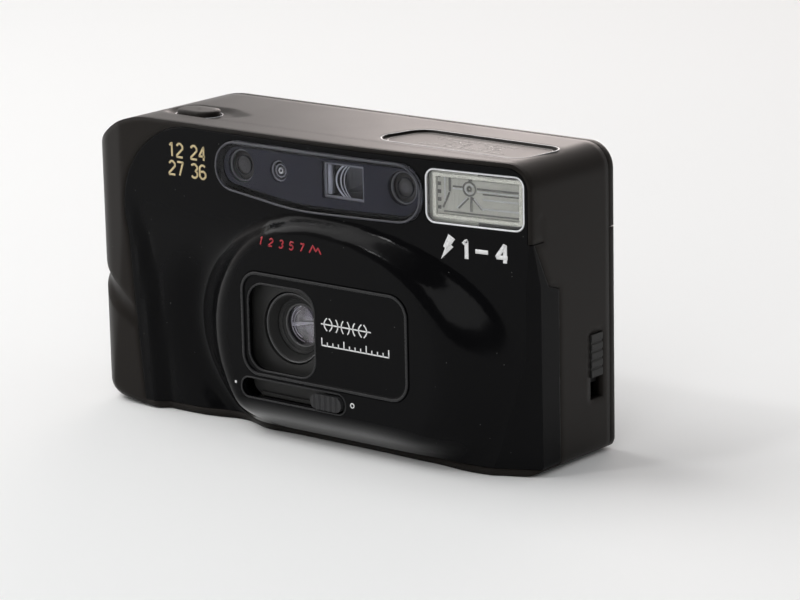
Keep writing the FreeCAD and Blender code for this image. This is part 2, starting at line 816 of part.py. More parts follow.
def winding_motor():
    """Can motor hung from the room's ceiling by its flange, with its shaft below."""
    shaft_end = 8.4
    can_low = 11.4
    ceiling = film_room_top + room_wall + 0.02
    profile = [(0, shaft_end), (0.75, shaft_end), (0.75, can_low - 0.9), (2.6, can_low - 0.9),
               (2.6, can_low), (motor_radius - 0.6, can_low), (motor_radius, can_low + 0.6),
               (motor_radius, ceiling), (motor_radius + 2.2, ceiling),
               (motor_radius + 2.2, ceiling + 1.1), (2.0, ceiling + 1.1),
               (2.0, ceiling + 2.0), (0, ceiling + 2.0)]
    return turned(profile, V(take_up_x, cassette_depth, 0))


def rewind_fork():
    """Gear, shaft and two-pronged fork that enters the cassette's spool."""
    low = gear(cassette_x, cassette_depth, fork_teeth, 0.01, gear_low, gear_thick, gear_phases()[-1])
    shaft = rod(cassette_x, cassette_depth, gear_low, hub_radius, floor_top + 1.2 - gear_low)
    stem = rod(cassette_x, cassette_depth, floor_top, 1.4, 4.0)
    blade = box(cassette_x - 2.6, cassette_x + 2.6, cassette_depth - 0.6, cassette_depth + 0.6,
                floor_top, floor_top + 3.6)
    return union([low, shaft, stem, blade])


def sprocket():
    """Eight-tooth wheel that the film turns, standing in the slot beside the gate."""
    wheel = rod(sprocket_x, sprocket_depth, sprocket_low, 5.2, 3.4)
    shaft = rod(sprocket_x, sprocket_depth, sprocket_low, 1.2, 8.6)
    teeth = []
    for i in range(8):
        wire = Part.makePolygon([V(4.8, -0.9, 0), V(5.2, -0.75, 0), V(6.0, -0.35, 0),
                                 V(6.0, 0.35, 0), V(5.2, 0.75, 0), V(4.8, 0.9, 0), V(4.8, -0.9, 0)])
        tooth = Part.Face(wire).extrude(V(0, 0, 1.6))
        tooth.rotate(V(0, 0, 0), Z_AXIS, 45 * i)
        tooth.translate(V(sprocket_x, sprocket_depth, sprocket_low + 0.9))
        teeth.append(tooth)
    return union([wheel, shaft] + teeth)


def counter_drum():
    """Frame counter: a cup with its numbers on the rim, turning on the chassis pin."""
    profile = [(0.9 + shaft_gap, 0), (6.4, 0), (6.4, 4.4), (5.6, 4.4), (5.6, 1.0),
               (2.0, 1.0), (2.0, 2.4), (0.9 + shaft_gap, 2.4)]
    return turned(profile, V(counter_x, counter_depth, counter_drum_low))


# Tripod socket, strap lug and case details

socket_x = 0.0
socket_depth = -5.6
socket_radius = 4.2
socket_bore = 2.55
socket_length = 8.0
socket_flange = 4.7


def tripod_socket():
    """Brass insert with a blind bore that opens in the base."""
    profile = [(socket_bore, 0), (socket_flange, 0), (socket_flange, 1.0), (socket_radius, 1.0),
               (socket_radius, socket_length), (0, socket_length), (0, 6.2), (socket_bore, 6.2)]
    return turned(profile, V(socket_x, socket_depth, 0))


lug_height = 39.5
lug_depth = -8.5


def strap_lug():
    """Loop at the left end, with a slot for a thin strap and a root inside the wall."""
    outline = rounded([
        (-half_width + wall - 0.3, lug_height + 4.6, 0.6),
        (-half_width - 0.6, lug_height + 4.6, 1.6),
        (-half_width - 2.5, lug_height + 1.6, 1.6),
        (-half_width - 2.5, lug_height - 2.4, 1.6),
        (-half_width + wall - 0.3, lug_height - 4.6, 0.6),
    ])
    loop = front_prism(outline, lug_depth - 1.6, lug_depth + 1.6)
    slot = front_prism(rectangle(-half_width - 1.7, -half_width - 0.2, lug_height - 2.2,
                                 lug_height + 2.4, 0.6), lug_depth - 3, lug_depth + 3)
    return loop.cut(slot)


scoop_radius = 5.6
scoop_depth = 0.9


def strap_scoop():
    """Slanting round groove that follows the corner from the lug down to the cover's seam."""
    stand = scoop_radius - scoop_depth
    left = -half_width
    turn = (front_corner_radius + stand) * math.sqrt(0.5)
    corner = V(left + front_corner_radius, -base_reach - 0.6 + 7.0, 0)
    way = [V(left - stand, lug_depth + 5.0, lug_height + 4.5),
           V(left - stand, corner.y, lug_height - 2.0),
           V(corner.x - turn, corner.y - turn, lug_height - 8.5),
           V(left + 8.0, -reach(left + 8.0, 26.0) - stand + 0.2, 26.0),
           V(left + 16.0, -reach(left + 16.0, 20.5) - stand, 20.5)]
    curve = Part.BSplineCurve()
    curve.interpolate(way)
    path = Part.Wire([curve.toShape()])
    edge = path.Edges[0]
    ring = Part.Wire([Part.Circle(way[0], edge.tangentAt(edge.FirstParameter), scoop_radius).toShape()])
    return path.makePipeShell([ring], True, False)


def lug_slot():
    return box(-half_width - 1, -half_width + wall + 0.2, lug_depth - 1.65, lug_depth + 1.65,
               lug_height - 4.7, lug_height + 4.7)


button_x = -38.5
button_depth = -8.0


def button_outline(grow=0.0):
    return rectangle(button_x - 5.6 - grow, button_x + 5.6 + grow,
                     button_depth - 3.6 - grow, button_depth + 3.6 + grow, 3.5 + grow)


def button_dish():
    """Shallow teardrop dish round the button, running out to the right."""
    rim = rounded([(button_x - 10.0, button_depth - 5.0, 5.5), (button_x + 9.0, button_depth - 5.6, 4.0),
                   (button_x + 17.0, button_depth + 2.0, 2.0), (button_x + 6.0, button_depth + 7.0, 9.0),
                   (button_x - 8.5, button_depth + 6.5, 6.0)])
    floor = rounded([(button_x - 8.0, button_depth - 4.6, 4.4), (button_x + 7.5, button_depth - 4.8, 3.2),
                     (button_x + 10.5, button_depth + 1.6, 1.5), (button_x + 5.0, button_depth + 5.2, 6.0),
                     (button_x - 7.0, button_depth + 5.0, 4.5)])
    rim.translate(V(0, 0, body_height + 0.1))
    floor.translate(V(0, 0, body_height - 0.7))
    return Part.makeLoft([floor, rim], True, True)


def shutter_button():
    """Oval cap that domes slightly, with a retaining flange and a stem to the switch."""
    cap = plan_prism(button_outline(), body_height - wall - 0.4, body_height + 0.6)
    edges = [e for e in cap.Edges if min(v.Z for v in e.Vertexes) > body_height + 0.5]
    cap = cap.makeFillet(0.5, edges)
    flange = plan_prism(button_outline(0.7), body_height - wall - 1.6, body_height - wall - moving_gap)
    stem_low = spring_low + 0.9
    stem = rod(button_x, button_depth, stem_low, 1.2, body_height - wall - 1.1 - stem_low)
    return union([cap, flange, stem])


def button_spring():
    """Plain sleeve in place of the fine coil round the stem."""
    top = body_height - wall - 1.65
    profile = [(1.6, spring_low), (2.2, spring_low), (2.2, top), (1.6, top)]
    return turned(profile, V(button_x, button_depth, 0))


def release_switch():
    base = box(button_x - 3.5, button_x + 3.5, button_depth - 3.5, button_depth + 3.5,
               board_low + board_thick + 0.1, switch_top)
    dome = rod(button_x, button_depth, switch_top, 1.0, 0.5)
    seat = turned([(1.5, switch_top - 0.1), (2.6, switch_top - 0.1), (2.6, spring_low - 0.05),
                   (1.5, spring_low - 0.05)], V(button_x, button_depth, 0))
    return union([base, dome, seat])


label_right = half_width - 4.5
label_left = label_right - 45.0
label_front = -10.5
label_back = 4.5
label_sunk = 0.5


def label_recess():
    """Sunk place on the top, with slanting ends and round corners."""
    outline = rounded([(label_left, label_front, 5.0), (label_right - 2.0, label_front, 4.0),
                       (label_right, label_back, 4.0), (label_left + 4.0, label_back, 5.0)])
    return plan_prism(outline, body_height - label_sunk, body_height + 2)


latch_depth = 9.0
latch_low = 19.0
latch_length = 10.0
latch_travel = 5.0


def latch_slot():
    return box(half_width - 6, half_width + 2, latch_depth - 2.4, latch_depth + 2.4,
               latch_low - latch_travel - moving_gap, latch_low + latch_length + moving_gap)


battery_door_left = -62.6
battery_door_right = -47.9
battery_door_front = -14.6
battery_door_back = 14.3
battery_door_corner = 5.9
battery_door_thick = 1.6
battery_hinge_x = -45.1
battery_hinge_z = 1.5
battery_hinge_radius = 1.2
battery_hinge_half = 7.8
battery_ear_width = 2.0
battery_swing_gap = 0.6
cell_offset = 7.05


def battery_opening():
    """Hole in the base for the door, with a bay for the hinge barrel and room for the edge to swing."""
    plate = plan_prism(rectangle(battery_door_left - seam_gap, battery_door_right + battery_swing_gap,
                                 battery_door_front - seam_gap, battery_door_back + seam_gap,
                                 battery_door_corner + seam_gap), -1, wall + 0.5)
    side = battery_hinge_half + 0.4
    return plate.fuse(box(battery_door_right - 3, battery_hinge_x + 2.4, -side, side, -1, wall + 0.5))


rewind_x = 22.0
rewind_depth = -7.4


def main_casing(shell):
    behind = box(-80, 80, rear_seam - seam_gap, 40, 1.6, 90)
    casing = shell.cut(cover_region(seam_gap)).cut(behind)
    casing = casing.cut(plan_prism(button_outline(moving_gap), body_height - 12, body_height + 18))
    casing = casing.cut(button_dish()).cut(label_recess()).cut(latch_slot()).cut(battery_opening())
    casing = casing.cut(rod(socket_x, socket_depth, -1, socket_flange + 0.02, 4))
    casing = casing.cut(rod(rewind_x, rewind_depth, -1, 1.6 + moving_gap, 4))
    casing = casing.cut(strap_scoop()).cut(lug_slot())
    pin_half = battery_hinge_half + moving_gap + battery_ear_width + 0.1
    groove = pin_radius + 0.02
    casing = casing.cut(box(battery_hinge_x - groove, battery_hinge_x + groove, -pin_half, pin_half,
                            battery_hinge_z - groove, wall + 1))
    return keep_largest(casing)


def keep_largest(shape):
    return max(shape.Solids, key=lambda s: s.Volume)


# Rear cover and back door

eyepiece_left = finder_left - 0.4
eyepiece_right = finder_right + 0.4
eyepiece_low = finder_low - 0.4
eyepiece_top = finder_top + 0.4
lamp_x = finder_right + 4.9
counter_window_height = counter_drum_low + 2.2


def rear_cover(shell):
    rear = shell.common(box(-80, 80, rear_seam, 40, wall, 90))
    door_space = box(hinge_x - hinge_radius - moving_gap, 80, 0, 40, 0, door_top + seam_gap)
    bevel = Part.Face(Part.makePolygon([
        V(hinge_x - 2.1, body_back - 1.7, 0), V(hinge_x - 4.0, body_back + 0.2, 0),
        V(hinge_x, body_back + 0.2, 0), V(hinge_x - 2.1, body_back - 1.7, 0)])).extrude(V(0, 0, door_top))
    rear = rear.cut(door_space).cut(bevel)
    rear = rear.cut(front_prism(rectangle(eyepiece_left, eyepiece_right, eyepiece_low, eyepiece_top, 2.0),
                                10, 30, -0.02))
    rear = rear.cut(rod(lamp_x, 10, window_height, 1.6, 20, Y_AXIS))
    rear = rear.cut(front_prism(rectangle(counter_x - 3.2, counter_x + 3.2, counter_window_height - 2,
                                          counter_window_height + 2, 0.8), 10, 30))
    return keep_largest(rear)


film_window_left = 31.5
film_window_right = 42.5
film_window_low = 14.0
film_window_top = 44.0
knuckle_low = 18.2
knuckle_pitch = 16.0
knuckle_length = 5.9
knuckle_gap = 0.2
catch_low = 13.5
catch_top = 22.0
catch_thick = 1.3


def knuckle_heights():
    return [knuckle_low, knuckle_low + knuckle_pitch]


def film_window_outline():
    return rectangle(film_window_left, film_window_right, film_window_low, film_window_top, 2.0)


def back_door(shell):
    """Door plate with its rim, hinge barrel, catch and the seat of the film window."""
    low = wall
    plate = shell.common(box(hinge_x, 80, rear_seam, 40, low, door_top - 0.15))
    barrel = rod(hinge_x, hinge_depth, low + 0.1, hinge_radius, door_top - low - 0.4)
    catch_x = half_width - wall - 1.6
    catch_front = 12.4
    catch = box(catch_x, catch_x + catch_thick, catch_front, body_back - wall + 0.2,
                catch_low + 2.0, catch_top)
    catch = catch.fuse(box(catch_x, catch_x + catch_thick, catch_front, catch_front + 1.6,
                           catch_low, catch_low + 2.0))
    ribs = [box(-40, half_width - 7.0, 14.0, body_back - wall + 0.2, z, z + 0.8) for z in (3.0, door_top - 1.5)]
    door = union([keep_largest(plate), barrel, catch] + ribs)
    door = door.cut(rod(hinge_x, hinge_depth, 0, pin_radius + shaft_gap, door_top))
    for z in knuckle_heights():
        door = door.cut(rod(hinge_x, hinge_depth, z - knuckle_gap, hinge_radius + 0.25,
                            knuckle_length + 2 * knuckle_gap))
    door = door.cut(front_prism(film_window_outline(), 10, 30))
    return keep_largest(door)


def hinge_pin():
    """Steel pin and the fixed knuckles that carry it between those of the door."""
    pin = rod(hinge_x, hinge_depth, wall + 0.2, pin_radius, door_top - wall - 0.6)
    knuckles = []
    for z in knuckle_heights():
        ring = rod(hinge_x, hinge_depth, z, hinge_radius - 0.1, knuckle_length)
        tail = box(hinge_x - 3.4, hinge_x - 0.6, hinge_depth - 0.9, hinge_depth - 0.2,
                   z, z + knuckle_length)
        knuckles += [ring, tail]
    return union([pin] + knuckles)


def pressure_plate():
    plate = front_prism(rectangle(-21.0, 21.0, lens_height - 18.0, lens_height + 18.0, 2.0),
                        film_plane + 0.15, film_plane + 0.95)
    dimples = [rod(x, film_plane + 0.55, lens_height + z, 1.2, 1, Y_AXIS)
               for x in (-15, 15) for z in (-12, 12)]
    return plate.cut(union(dimples))


def pressure_spring():
    """Bowed leaf between the plate and the door."""
    thick = 0.25
    reach_out = 14.0
    near = film_plane + 0.97
    far = body_back - wall - 0.02
    bow = Part.Arc(V(-reach_out, far - thick, 0), V(0, near, 0), V(reach_out, far - thick, 0))
    back = Part.Arc(V(reach_out, far, 0), V(0, near + thick, 0), V(-reach_out, far, 0))
    ends = [Part.LineSegment(V(x, far - thick, 0), V(x, far, 0)) for x in (reach_out, -reach_out)]
    wire = Part.Wire([curve.toShape() for curve in (bow, ends[0], back, ends[1])])
    face = Part.Face(wire)
    face.translate(V(0, 0, lens_height - 5))
    return face.extrude(V(0, 0, 10))


def film_window():
    pane = front_prism(film_window_outline(), body_back - wall + 0.1, body_back - 0.1, 0.03)
    flange = front_prism(film_window_outline(), body_back - wall - 0.6, body_back - wall - 0.02, -1.2)
    neck = front_prism(film_window_outline(), body_back - wall - 0.1, body_back - wall + 0.2, 0.03)
    return union([pane, neck, flange])


def door_latch():
    """Thumb piece in the end wall's slot, with the bar inside that holds it."""
    knob = box(half_width - wall - 0.6, half_width + 0.3, latch_depth - 2.1, latch_depth + 2.1,
               latch_low, latch_low + latch_length)
    for i in range(4):
        groove = rod(half_width + 0.45, latch_depth - 3, latch_low + 2 + 2 * i, 0.4, 6, Y_AXIS)
        knob = knob.cut(groove)
    bar = box(half_width - wall - 1.5, half_width - wall - 0.3, latch_depth - 3.2, latch_depth + 2.9,
              latch_low - 2, latch_low + latch_length + 3)
    return union([knob, bar])


# Battery door and contacts

def battery_door(outer):
    """Bottom door, round like the base's edge, with its hinge barrel and a thumb grip."""
    plate = plan_prism(rectangle(battery_door_left, battery_door_right, battery_door_front,
                                 battery_door_back, battery_door_corner), 0, battery_door_thick).common(outer)
    lip = plan_prism(rectangle(bay_left + 0.5, battery_door_right - 0.1, bay_front + 0.5, bay_back - 0.5,
                               bay_radius - 1.5), battery_door_thick - 0.1, battery_door_thick + 0.6)
    half = battery_hinge_half
    tongue = box(battery_door_right - 1, battery_hinge_x - 1.3, -half, half, 0, battery_door_thick)
    barrel = rod(battery_hinge_x, -half, battery_hinge_z, battery_hinge_radius, 2 * half, Y_AXIS)
    web = box(battery_hinge_x - 1.8, battery_hinge_x, -half, half, 0.6, battery_door_thick)
    door = union([plate, lip, tongue, barrel, web])
    for i in range(4):
        door = door.cut(rod(battery_door_left + 2.5 + 1.6 * i, -5, -0.25, 0.5, 10, Y_AXIS))
    return door.cut(rod(battery_hinge_x, -20, battery_hinge_z, pin_radius + shaft_gap, 40, Y_AXIS))


def battery_door_pin():
    """Pin, with a fixed ear at each end that seats on the base's inner face."""
    near = battery_hinge_half + moving_gap
    far = near + battery_ear_width
    pin = rod(battery_hinge_x, -far, battery_hinge_z, pin_radius, 2 * far, Y_AXIS)
    ears = [box(battery_hinge_x - 1.2, battery_hinge_x + 1.2, y, y + battery_ear_width,
                wall + 0.02, wall + 1.2)
            for y in (-far, near)]
    return union([pin] + ears)


def bridge_contact():
    """Sprung strip on the door that joins the two cells."""
    low = battery_door_thick + 0.62
    middle = (bay_left + bay_right) / 2
    strip = box(middle - 3.5, middle + 3.5, -cell_offset - 4.95, cell_offset + 4.55, low, low + 0.28)
    bumps = [rod(middle, y - 0.15, low + 0.18, 2.2, 0.6) for y in (-cell_offset, cell_offset)]
    return union([strip] + bumps)


def battery_contacts():
    """Top contacts: a flat stud for one cell and a stepped cone for the other."""
    middle = (bay_left + bay_right) / 2
    stud = turned([(0, -1.38), (2.4, -1.38), (2.4, -0.58), (5.0, -0.58), (5.0, 0), (0, 0)],
                  V(middle, -cell_offset - 0.15, bay_top - 0.02))
    cone = turned([(0, -3.38), (1.4, -3.38), (1.8, -2.38), (2.8, -2.38), (3.2, -1.38), (4.2, -1.38),
                   (4.8, 0), (0, 0)], V(middle, cell_offset - 0.15, bay_top - 0.02))
    return stud, cone


# Windows, finder, flash and boards

def light_sensor():
    face = -plan_reach(sensor_x) + 2.2
    profile = [(0, 0), (3.4, 0), (3.4, 3.0), (2.5, 3.0), (2.3, 3.6), (1.4, 4.1), (0, 4.3)]
    return turned(profile, V(sensor_x, face + 4.3, window_height), -Y_AXIS)


def af_units():
    """Emitter and receiver: a lens in front of a small housing, one at each end of the strip."""
    units = []
    for x in (af_left_x, af_right_x):
        face = -plan_reach(x) + 2.2
        profile = [(0, 0), (4.6, 0), (4.6, 6.0), (3.9, 7.4), (2.6, 8.2), (1.2, 8.6), (0, 8.7)]
        drum = turned(profile, V(x, face + 8.7, window_height), -Y_AXIS)
        block = box(x - 5.0, x + 5.0, face + 8.6, face + 14.0, window_height - 5.0, window_height + 5.0)
        units.append(union([drum, block]))
    return units


finder_front = -17.2
finder_back = 14.6


def viewfinder_body():
    """Square tube from the strip to the eyepiece, with a slot for the frame mirror."""
    tube = box(finder_left, finder_right, finder_front, finder_back, finder_low, finder_top)
    hollow = box(finder_left + finder_wall, finder_right - finder_wall, finder_front - 1, finder_back + 1,
                 finder_low + finder_wall, finder_top - finder_wall)
    foot = box(finder_left + 2, finder_right - 2, film_plane - 3.2, film_plane - 0.6,
               film_room_top + room_wall + 0.1, finder_low + 0.2)
    return union([tube.cut(hollow), foot])


def finder_pane(y0, y1, bulge_front, bulge_back):
    """Square finder lens with cylindrical-cut spherical faces."""
    clear = finder_wall + 0.02
    centre = V((finder_left + finder_right) / 2, 0, (finder_low + finder_top) / 2)
    pane = box(finder_left + clear, finder_right - clear, y0, y1, finder_low + clear, finder_top - clear)
    if bulge_front < 0:
        ball = 26.0
        pane = pane.cut(Part.makeSphere(ball, V(centre.x, y0 - ball - bulge_front, centre.z)))
    if bulge_back > 0:
        ball = 34.0
        pane = pane.common(Part.makeSphere(ball, V(centre.x, y1 - ball, centre.z)))
    return pane


def frame_mirror():
    """Half-silvered plate that stands askew behind the finder's front lens."""
    plate = box(-0.5, 0.5, -7.2, 7.2, finder_low + finder_wall + 0.1, finder_top - finder_wall - 0.1)
    plate.rotate(V(0, 0, 0), Z_AXIS, -38)
    plate.translate(V((finder_left + finder_right) / 2, -6.0, 0))
    inside = box(finder_left + finder_wall + 0.05, finder_right - finder_wall - 0.05, -20, 20, 0, 90)
    return plate.common(inside)


def eyepiece_surround():
    """Soft frame round the eyepiece, standing a little proud of the back."""
    outline = rectangle(eyepiece_left, eyepiece_right, eyepiece_low, eyepiece_top, 2.0)
    frame = front_prism(outline, finder_back + 0.05, body_back + 0.9)
    edges = [e for e in frame.Edges if min(v.Y for v in e.Vertexes) > body_back + 0.85]
    frame = frame.makeChamfer(0.5, edges)
    hole = [front_face(rectangle(eyepiece_left + a, eyepiece_right - a, eyepiece_low + a,
                                 eyepiece_top - a, 1.2), y).OuterWire
            for y, a in ((finder_back - 0.5, 2.4), (body_back + 1.0, 1.5))]
    return frame.cut(Part.makeLoft(hole, True, True))


def flash_window():
    pane = bent_band(flash_left - 3, flash_right + 3, -flash_sunk, flash_depth, 30, body_height)
    return pane.common(front_prism(flash_outline(), -30, 0))


reflector_back = -4.6


def flash_reflector():
    """Trough with a hollow of oval section, open to the front, and end walls for the tube."""
    front = -flash_sunk - flash_depth - 0.02
    band = bent_band(flash_left - 3, flash_right + 3, front, 14.0, flash_low + 1.2, flash_top - 1.2)
    block = band.common(box(flash_left + 1.2, flash_right - 1.4, -25, reflector_back, 30, body_height))
    middle = (flash_low + flash_top) / 2
    rise = (flash_top - flash_low) / 2 - 2.0
    curve = Part.Ellipse(V(0, 0, 0), 9.6, rise)
    hollow = Part.Face(Part.Wire(curve.toShape()))
    hollow.rotate(V(0, 0, 0), Z_AXIS, 90)
    hollow.rotate(V(0, 0, 0), Y_AXIS, 90)
    hollow.translate(V(flash_left + 2.0, -15.4, middle))
    block = block.cut(hollow.extrude(V(flash_right - flash_left - 4.2, 0, 0)))
    return block.cut(rod(0, tube_depth, middle, tube_radius + 0.25, 80, X_AXIS))


tube_depth = -9.0
tube_radius = 1.4


def flash_tube():
    middle = (flash_low + flash_top) / 2
    glass_part = rod(flash_left + 1.0, tube_depth, middle, tube_radius,
                     flash_right - flash_left - 2.0, X_AXIS)
    caps = [rod(x, tube_depth, middle, 0.8, 1.0, X_AXIS) for x in (flash_left + 0.2, flash_right - 1.2)]
    return union([glass_part] + caps)


capacitor_x = half_width - 7.5
capacitor_radius = 5.4
capacitor_length = 28.7


def flash_capacitor():
    neck = capacitor_radius - 0.5
    top = capacitor_length
    profile = [(0, 0), (capacitor_radius, 0), (capacitor_radius, top - 4.0), (neck, top - 3.6),
               (neck, top - 2.8), (capacitor_radius, top - 2.4), (capacitor_radius, top), (0, top)]
    return turned(profile, V(capacitor_x, cassette_depth, floor_top + 0.02))


def flash_board():
    """Upright board behind the flash, with its transformer, trigger coil and switch block."""
    low = cassette_room_top + room_wall + 0.02
    left = flash_left - 1.0
    board = box(left, flash_right - 1.8, -3.9, -2.7, low, flash_top - 0.8)
    parts = [box(left + 3.0, left + 12.0, -2.8, 5.2, low + 1.5, low + 9.9),
             rod(left + 16.5, -2.8, low + 5.4, 3.0, 7.0, Y_AXIS),
             box(left + 20.0, left + 23.8, -2.8, 0.4, low + 2.9, low + 10.9)]
    return union([board] + parts)


def main_board():
    """Flat board over the take-up side, with its processor and crystal."""
    low = board_low
    board = box(-45.8, finder_left - 2.9, -12.5, 13.6, low, low + board_thick)
    board = board.cut(rod(counter_x, counter_depth, low - 1, 1.4, 4))
    parts = [box(-31.0, -19.0, -10.0, -2.0, low + 0.9, low + 2.1), rod(-12.0, 9.0, low + 0.9, 1.5, 4.0),
             rod(-6.0, 8.0, low + 0.9, 2.2, 5.0)]
    feet = [box(x - 1.2, x + 1.2, y - 1.2, y + 1.2, film_room_top + room_wall + 0.02, low + 0.1)
            for x, y in ((-43.0, 8.0), (-16.5, 11.2))]
    return union([board] + parts + feet)


def counter_window():
    outline = rectangle(counter_x - 3.17, counter_x + 3.17, counter_window_height - 1.97,
                        counter_window_height + 1.97, 0.8)
    return front_prism(outline, body_back - wall + 0.05, body_back - 0.15)


def ready_lamp():
    profile = [(0, 0), (2.2, 0), (2.2, 1.5), (1.55, 1.5), (1.55, 3.2), (1.0, 3.7), (0, 3.85)]
    return turned(profile, V(lamp_x, body_back - wall - 1.55, window_height), Y_AXIS)


def rewind_button():
    profile = [(0, 0.35), (1.6, 0.35), (1.6, wall + moving_gap), (2.6, wall + moving_gap),
               (2.6, wall + 1.0), (0.9, wall + 1.0), (0.9, 3.4), (0, 3.4)]
    return turned(profile, V(rewind_x, rewind_depth, 0))


def save(name, *solids):
    shape = solids[0] if len(solids) == 1 else Part.makeCompound(list(solids))
    bodies = shape.Solids
    whole = all(s.isValid() for s in bodies) and shape.isValid()
    print(f"{name:20s} solids {len(bodies)} faces {len(shape.Faces):4d} "
          f"volume {shape.Volume:10.1f} {'ok' if whole else 'NOT VALID'}")
    if len(bodies) == 1:
        shape = bodies[0]
    shape.exportStep(f"parts/{name}.step")


def main():
    os.makedirs("parts", exist_ok=True)
    outer, shell = make_body()
    save("main_casing", main_casing(shell))
    save("front_cover", front_cover(shell, outer))
    save("rear_cover", rear_cover(shell))
    save("back_door", back_door(shell))
    save("hinge_pin", hinge_pin())
    save("pressure_plate", pressure_plate())
    save("pressure_spring", pressure_spring())
    save("film_window", film_window())
    save("door_latch", door_latch())
    save("chassis", chassis())
    save("tripod_socket", tripod_socket())
    save("strap_lug", strap_lug())
    save("battery_door", battery_door(outer))
    save("battery_door_pin", battery_door_pin())
    save("bridge_contact", bridge_contact())
    save("battery_contacts", *battery_contacts())
    save("window_strip", strip_piece())
    save("window_mask", strip_mask())
    save("light_sensor", light_sensor())
    save("af_units", *af_units())
    save("viewfinder_body", viewfinder_body())
    save("finder_front_lens", finder_pane(finder_front + 0.4, finder_front + 3.0, -0.9, 0))
    save("frame_mirror", frame_mirror())
    save("eyepiece_lens", finder_pane(finder_back - 3.0, finder_back - 0.4, 0, 1))
    save("eyepiece_surround", eyepiece_surround())
    save("flash_window", flash_window())
    save("flash_reflector", flash_reflector())
    save("flash_tube", flash_tube())
    save("flash_capacitor", flash_capacitor())
    save("flash_board", flash_board())
    save("main_board", main_board())
    save("lens_trim_plate", lens_trim_plate())
    save("barrier_blade", barrier_blade())
    save("barrier_knob", barrier_knob())
    save("barrier_guide", barrier_guide())
    save("lens_ring", lens_ring())
    save("focus_cell", focus_cell())
    save("front_element", front_element())
    save("middle_element", middle_element())
    save("rear_element", rear_element())
    save("shutter_housing", shutter_housing())
    save("shutter_blade_left", shutter_blade(-1, housing_front + 1.1))
    save("shutter_blade_right", shutter_blade(1, housing_front + 1.7))
    save("shutter_button", shutter_button())
    save("button_spring", button_spring())
    save("release_switch", release_switch())
    save("take_up_spool", take_up_spool())
    save("take_up_gear", take_up_gear())
    save("winding_motor", winding_motor())
    places = gear_centres()
    phases = gear_phases()
    for i in range(1, idler_count + 1):
        x, y = places[i]
        wheel = gear(x, y, idler_teeth, gear_pin_radius + shaft_gap, gear_low, gear_thick, phases[i])
        save(f"idler_gear_{i}", wheel)
    save("rewind_fork", rewind_fork())
    save("sprocket", sprocket())
    save("counter_drum", counter_drum())
    save("counter_window", counter_window())
    save("ready_lamp", ready_lamp())
    save("rewind_button", rewind_button())


main()
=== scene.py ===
import math

import bpy
import numpy as np
from mathutils import Matrix, Vector


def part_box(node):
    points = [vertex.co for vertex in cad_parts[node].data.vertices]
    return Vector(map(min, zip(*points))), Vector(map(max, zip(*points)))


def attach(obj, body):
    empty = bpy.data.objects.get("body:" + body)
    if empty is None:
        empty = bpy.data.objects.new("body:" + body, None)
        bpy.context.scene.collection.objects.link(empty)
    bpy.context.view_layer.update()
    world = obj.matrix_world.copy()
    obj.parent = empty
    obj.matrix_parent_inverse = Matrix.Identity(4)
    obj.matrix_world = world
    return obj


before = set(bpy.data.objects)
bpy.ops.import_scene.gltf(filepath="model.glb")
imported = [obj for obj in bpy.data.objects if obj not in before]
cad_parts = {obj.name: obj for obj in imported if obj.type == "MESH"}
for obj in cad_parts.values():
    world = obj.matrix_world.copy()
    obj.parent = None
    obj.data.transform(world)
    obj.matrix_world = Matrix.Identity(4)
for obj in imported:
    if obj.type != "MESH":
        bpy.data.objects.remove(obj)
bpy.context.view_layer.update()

MM = 0.001


# Shader expressions

class Value:
    """One socket or number of a node tree, with operators that add Math nodes."""

    def __init__(self, tree, socket):
        self.tree = tree
        self.socket = socket

    def apply(self, operation, *others):
        """A Math node on this value and the others, in that order."""
        return self.tree.node("ShaderNodeMath", {"operation": operation}, dict(enumerate((self, *others))))

    def __add__(self, other):
        return self.apply("ADD", other)

    def __radd__(self, other):
        return self.apply("ADD", other)

    def __sub__(self, other):
        return self.apply("SUBTRACT", other)

    def __rsub__(self, other):
        return Value(self.tree, other).apply("SUBTRACT", self)

    def __mul__(self, other):
        return self.apply("MULTIPLY", other)

    def __rmul__(self, other):
        return self.apply("MULTIPLY", other)

    def either(self, other):
        """The larger of the two: for masks, where one or the other is."""
        return self.apply("MAXIMUM", other)

    def below(self, limit):
        """1 where this is less than the limit."""
        return self.apply("LESS_THAN", limit)

    def step(self, start, end):
        """0 up to start, 1 from end on, and smooth between them."""
        return self.tree.node("ShaderNodeMapRange", {"interpolation_type": "SMOOTHSTEP"},
                              {"Value": self, "From Min": start, "From Max": end})


